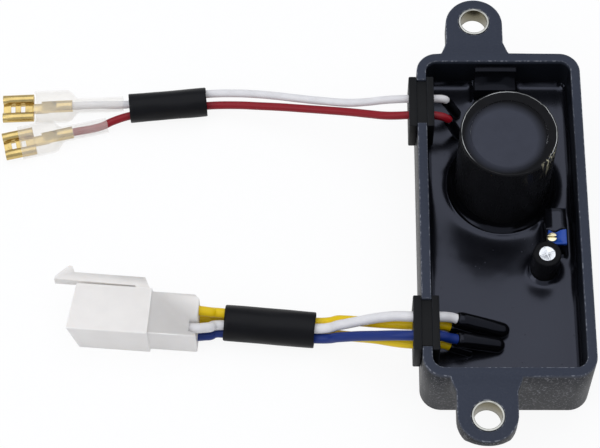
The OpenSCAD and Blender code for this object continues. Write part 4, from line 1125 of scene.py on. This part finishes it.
class RegulatorSizes(bpy.types.PropertyGroup):
    """Sizes that a user would change."""
    case_edge: FloatProperty(
        name="Case edge", description="Rounding of the moulded edges", default=0.3 * MM, unit="LENGTH")
    metal_edge: FloatProperty(
        name="Bushing edge", description="Rounding of the bushings", default=0.12 * MM, unit="LENGTH")
    rubber_edge: FloatProperty(
        name="Rubber edge", description="Rounding of the grommets", default=0.3 * MM, unit="LENGTH")
    plastic_edge: FloatProperty(
        name="Package edge", description="Rounding of small plastic parts", default=0.2 * MM, unit="LENGTH")
    plug_edge: FloatProperty(
        name="Plug edge", description="Rounding of the plug housing", default=0.3 * MM, unit="LENGTH")
    trimmer_edge: FloatProperty(
        name="Trimmer edge", description="Rounding of the trimmer", default=0.1 * MM, unit="LENGTH")
    fine_edge: FloatProperty(
        name="Sheet edge", description="Rounding of sheet metal and screws", default=0.05 * MM, unit="LENGTH")
    resin_climb: FloatProperty(
        name="Resin climb", description="Rise of the resin at the walls", default=1.5 * MM, unit="LENGTH")
    contact_pitch: FloatProperty(
        name="Contact pitch", description="Spacing of the plug contacts", default=CONTACT_PITCH,
        unit="LENGTH")
    wire_facets: IntProperty(
        name="Wire facets", description="Roundness of the wires", default=6, min=2, max=10)
    world_strength: FloatProperty(
        name="World light", description="Strength of the even studio light", default=0.7)


class RegulatorColours(bpy.types.PropertyGroup):
    """Colours that a user would change."""
    case: FloatVectorProperty(
        name="Case", description="Moulded case", subtype="COLOR", default=linear("14161b")[:3])
    # The disc colour is mostly painted sheen: the light that the can top reflects.
    disc: FloatVectorProperty(
        name="Disc", description="Capacitor top disc", subtype="COLOR", default=linear("383a43")[:3])
    trimmer: FloatVectorProperty(
        name="Trimmer", description="Trimmer body", subtype="COLOR", default=linear("1a48a4")[:3])
    brass: FloatVectorProperty(
        name="Brass", description="Terminals", subtype="COLOR", default=linear("d2b878")[:3])
    screw: FloatVectorProperty(
        name="Screw", description="Trimmer screw", subtype="COLOR", default=linear("e6dcb6")[:3])
    nylon: FloatVectorProperty(
        name="Nylon", description="Plug housing", subtype="COLOR", default=linear("e9e4dd")[:3])
    white: FloatVectorProperty(
        name="White wire", description="White insulation", subtype="COLOR", default=linear("dfdcda")[:3])
    red: FloatVectorProperty(
        name="Red wire", description="Red insulation", subtype="COLOR", default=linear("880516")[:3])
    blue: FloatVectorProperty(
        name="Blue wire", description="Blue insulation", subtype="COLOR", default=linear("0e2a70")[:3])
    yellow: FloatVectorProperty(
        name="Yellow wire", description="Yellow insulation", subtype="COLOR", default=linear("e6c200")[:3])


class REGULATOR_OT_case(bpy.types.Operator):
    """Dress the moulded case and its bushings"""
    bl_idname = "regulator.case"
    bl_label = "Case and bushings"

    def execute(self, context):
        build_case(context.scene.regulator_sizes, context.scene.regulator_colours)
        return {"FINISHED"}


class REGULATOR_OT_grommets(bpy.types.Operator):
    """Dress the rubber grommets"""
    bl_idname = "regulator.grommets"
    bl_label = "Grommets"

    def execute(self, context):
        build_grommets(context.scene.regulator_sizes)
        return {"FINISHED"}


class REGULATOR_OT_resin(bpy.types.Operator):
    """Pour the resin fill"""
    bl_idname = "regulator.resin"
    bl_label = "Resin"

    def execute(self, context):
        build_resin(context.scene.regulator_sizes)
        return {"FINISHED"}


class REGULATOR_OT_capacitors(bpy.types.Operator):
    """Dress both capacitors"""
    bl_idname = "regulator.capacitors"
    bl_label = "Capacitors"

    def execute(self, context):
        build_capacitors(context.scene.regulator_sizes, context.scene.regulator_colours)
        return {"FINISHED"}


class REGULATOR_OT_trimmer(bpy.types.Operator):
    """Dress the trimmer and its screw"""
    bl_idname = "regulator.trimmer"
    bl_label = "Trimmer"

    def execute(self, context):
        build_trimmer(context.scene.regulator_sizes, context.scene.regulator_colours)
        return {"FINISHED"}


class REGULATOR_OT_semiconductors(bpy.types.Operator):
    """Dress the transistor and the parts under the resin"""
    bl_idname = "regulator.semiconductors"
    bl_label = "Semiconductors and board"

    def execute(self, context):
        build_semiconductors(context.scene.regulator_sizes)
        return {"FINISHED"}


class REGULATOR_OT_sleeves(bpy.types.Operator):
    """Make the harness sleeves"""
    bl_idname = "regulator.sleeves"
    bl_label = "Harness sleeves"

    def execute(self, context):
        build_sleeves()
        return {"FINISHED"}


class REGULATOR_OT_terminals(bpy.types.Operator):
    """Dress the spade terminals and make their clear covers"""
    bl_idname = "regulator.terminals"
    bl_label = "Terminals and covers"

    def execute(self, context):
        build_terminals(context.scene.regulator_sizes, context.scene.regulator_colours)
        return {"FINISHED"}


class REGULATOR_OT_plug(bpy.types.Operator):
    """Dress the plug housing and set its contacts"""
    bl_idname = "regulator.plug"
    bl_label = "Plug"

    def execute(self, context):
        build_plug(context.scene.regulator_sizes, context.scene.regulator_colours)
        return {"FINISHED"}


class REGULATOR_OT_wires(bpy.types.Operator):
    """Lay the six wires"""
    bl_idname = "regulator.wires"
    bl_label = "Wires"

    def execute(self, context):
        build_wires(context.scene.regulator_sizes, context.scene.regulator_colours)
        return {"FINISHED"}


class REGULATOR_OT_stage(bpy.types.Operator):
    """Set the floor, lamps and camera"""
    bl_idname = "regulator.stage"
    bl_label = "Stage"

    def execute(self, context):
        build_stage(context.scene.regulator_sizes)
        return {"FINISHED"}


OPERATORS = (
    REGULATOR_OT_stage, REGULATOR_OT_case, REGULATOR_OT_grommets, REGULATOR_OT_resin, REGULATOR_OT_capacitors,
    REGULATOR_OT_trimmer, REGULATOR_OT_semiconductors, REGULATOR_OT_sleeves, REGULATOR_OT_terminals,
    REGULATOR_OT_plug, REGULATOR_OT_wires,
)


class REGULATOR_PT_panel(bpy.types.Panel):
    """Lists the regulator's steps in the sidebar"""
    bl_idname = "REGULATOR_PT_panel"
    bl_label = "Voltage regulator"
    bl_space_type = "VIEW_3D"
    bl_region_type = "UI"
    bl_category = "Regulator"

    def draw(self, context):
        for operator in OPERATORS:
            self.layout.operator(operator.bl_idname)


CLASSES = (RegulatorSizes, RegulatorColours) + OPERATORS + (REGULATOR_PT_panel,)


def register():
    """Adds the classes and the scene's settings."""
    for cls in CLASSES:
        bpy.utils.register_class(cls)
    bpy.types.Scene.regulator_sizes = PointerProperty(type=RegulatorSizes)
    bpy.types.Scene.regulator_colours = PointerProperty(type=RegulatorColours)


def unregister():
    """Takes the settings and the classes out again."""
    del bpy.types.Scene.regulator_colours
    del bpy.types.Scene.regulator_sizes
    for cls in reversed(CLASSES):
        bpy.utils.unregister_class(cls)


def main():
    """Registers the add-on and runs its steps in order."""
    register()
    bpy.ops.regulator.stage()
    bpy.ops.regulator.case()
    bpy.ops.regulator.grommets()
    bpy.ops.regulator.resin()
    bpy.ops.regulator.capacitors()
    bpy.ops.regulator.trimmer()
    bpy.ops.regulator.semiconductors()
    bpy.ops.regulator.sleeves()
    bpy.ops.regulator.terminals()
    bpy.ops.regulator.plug()
    bpy.ops.regulator.wires()


if __name__ == "__main__":
    main()
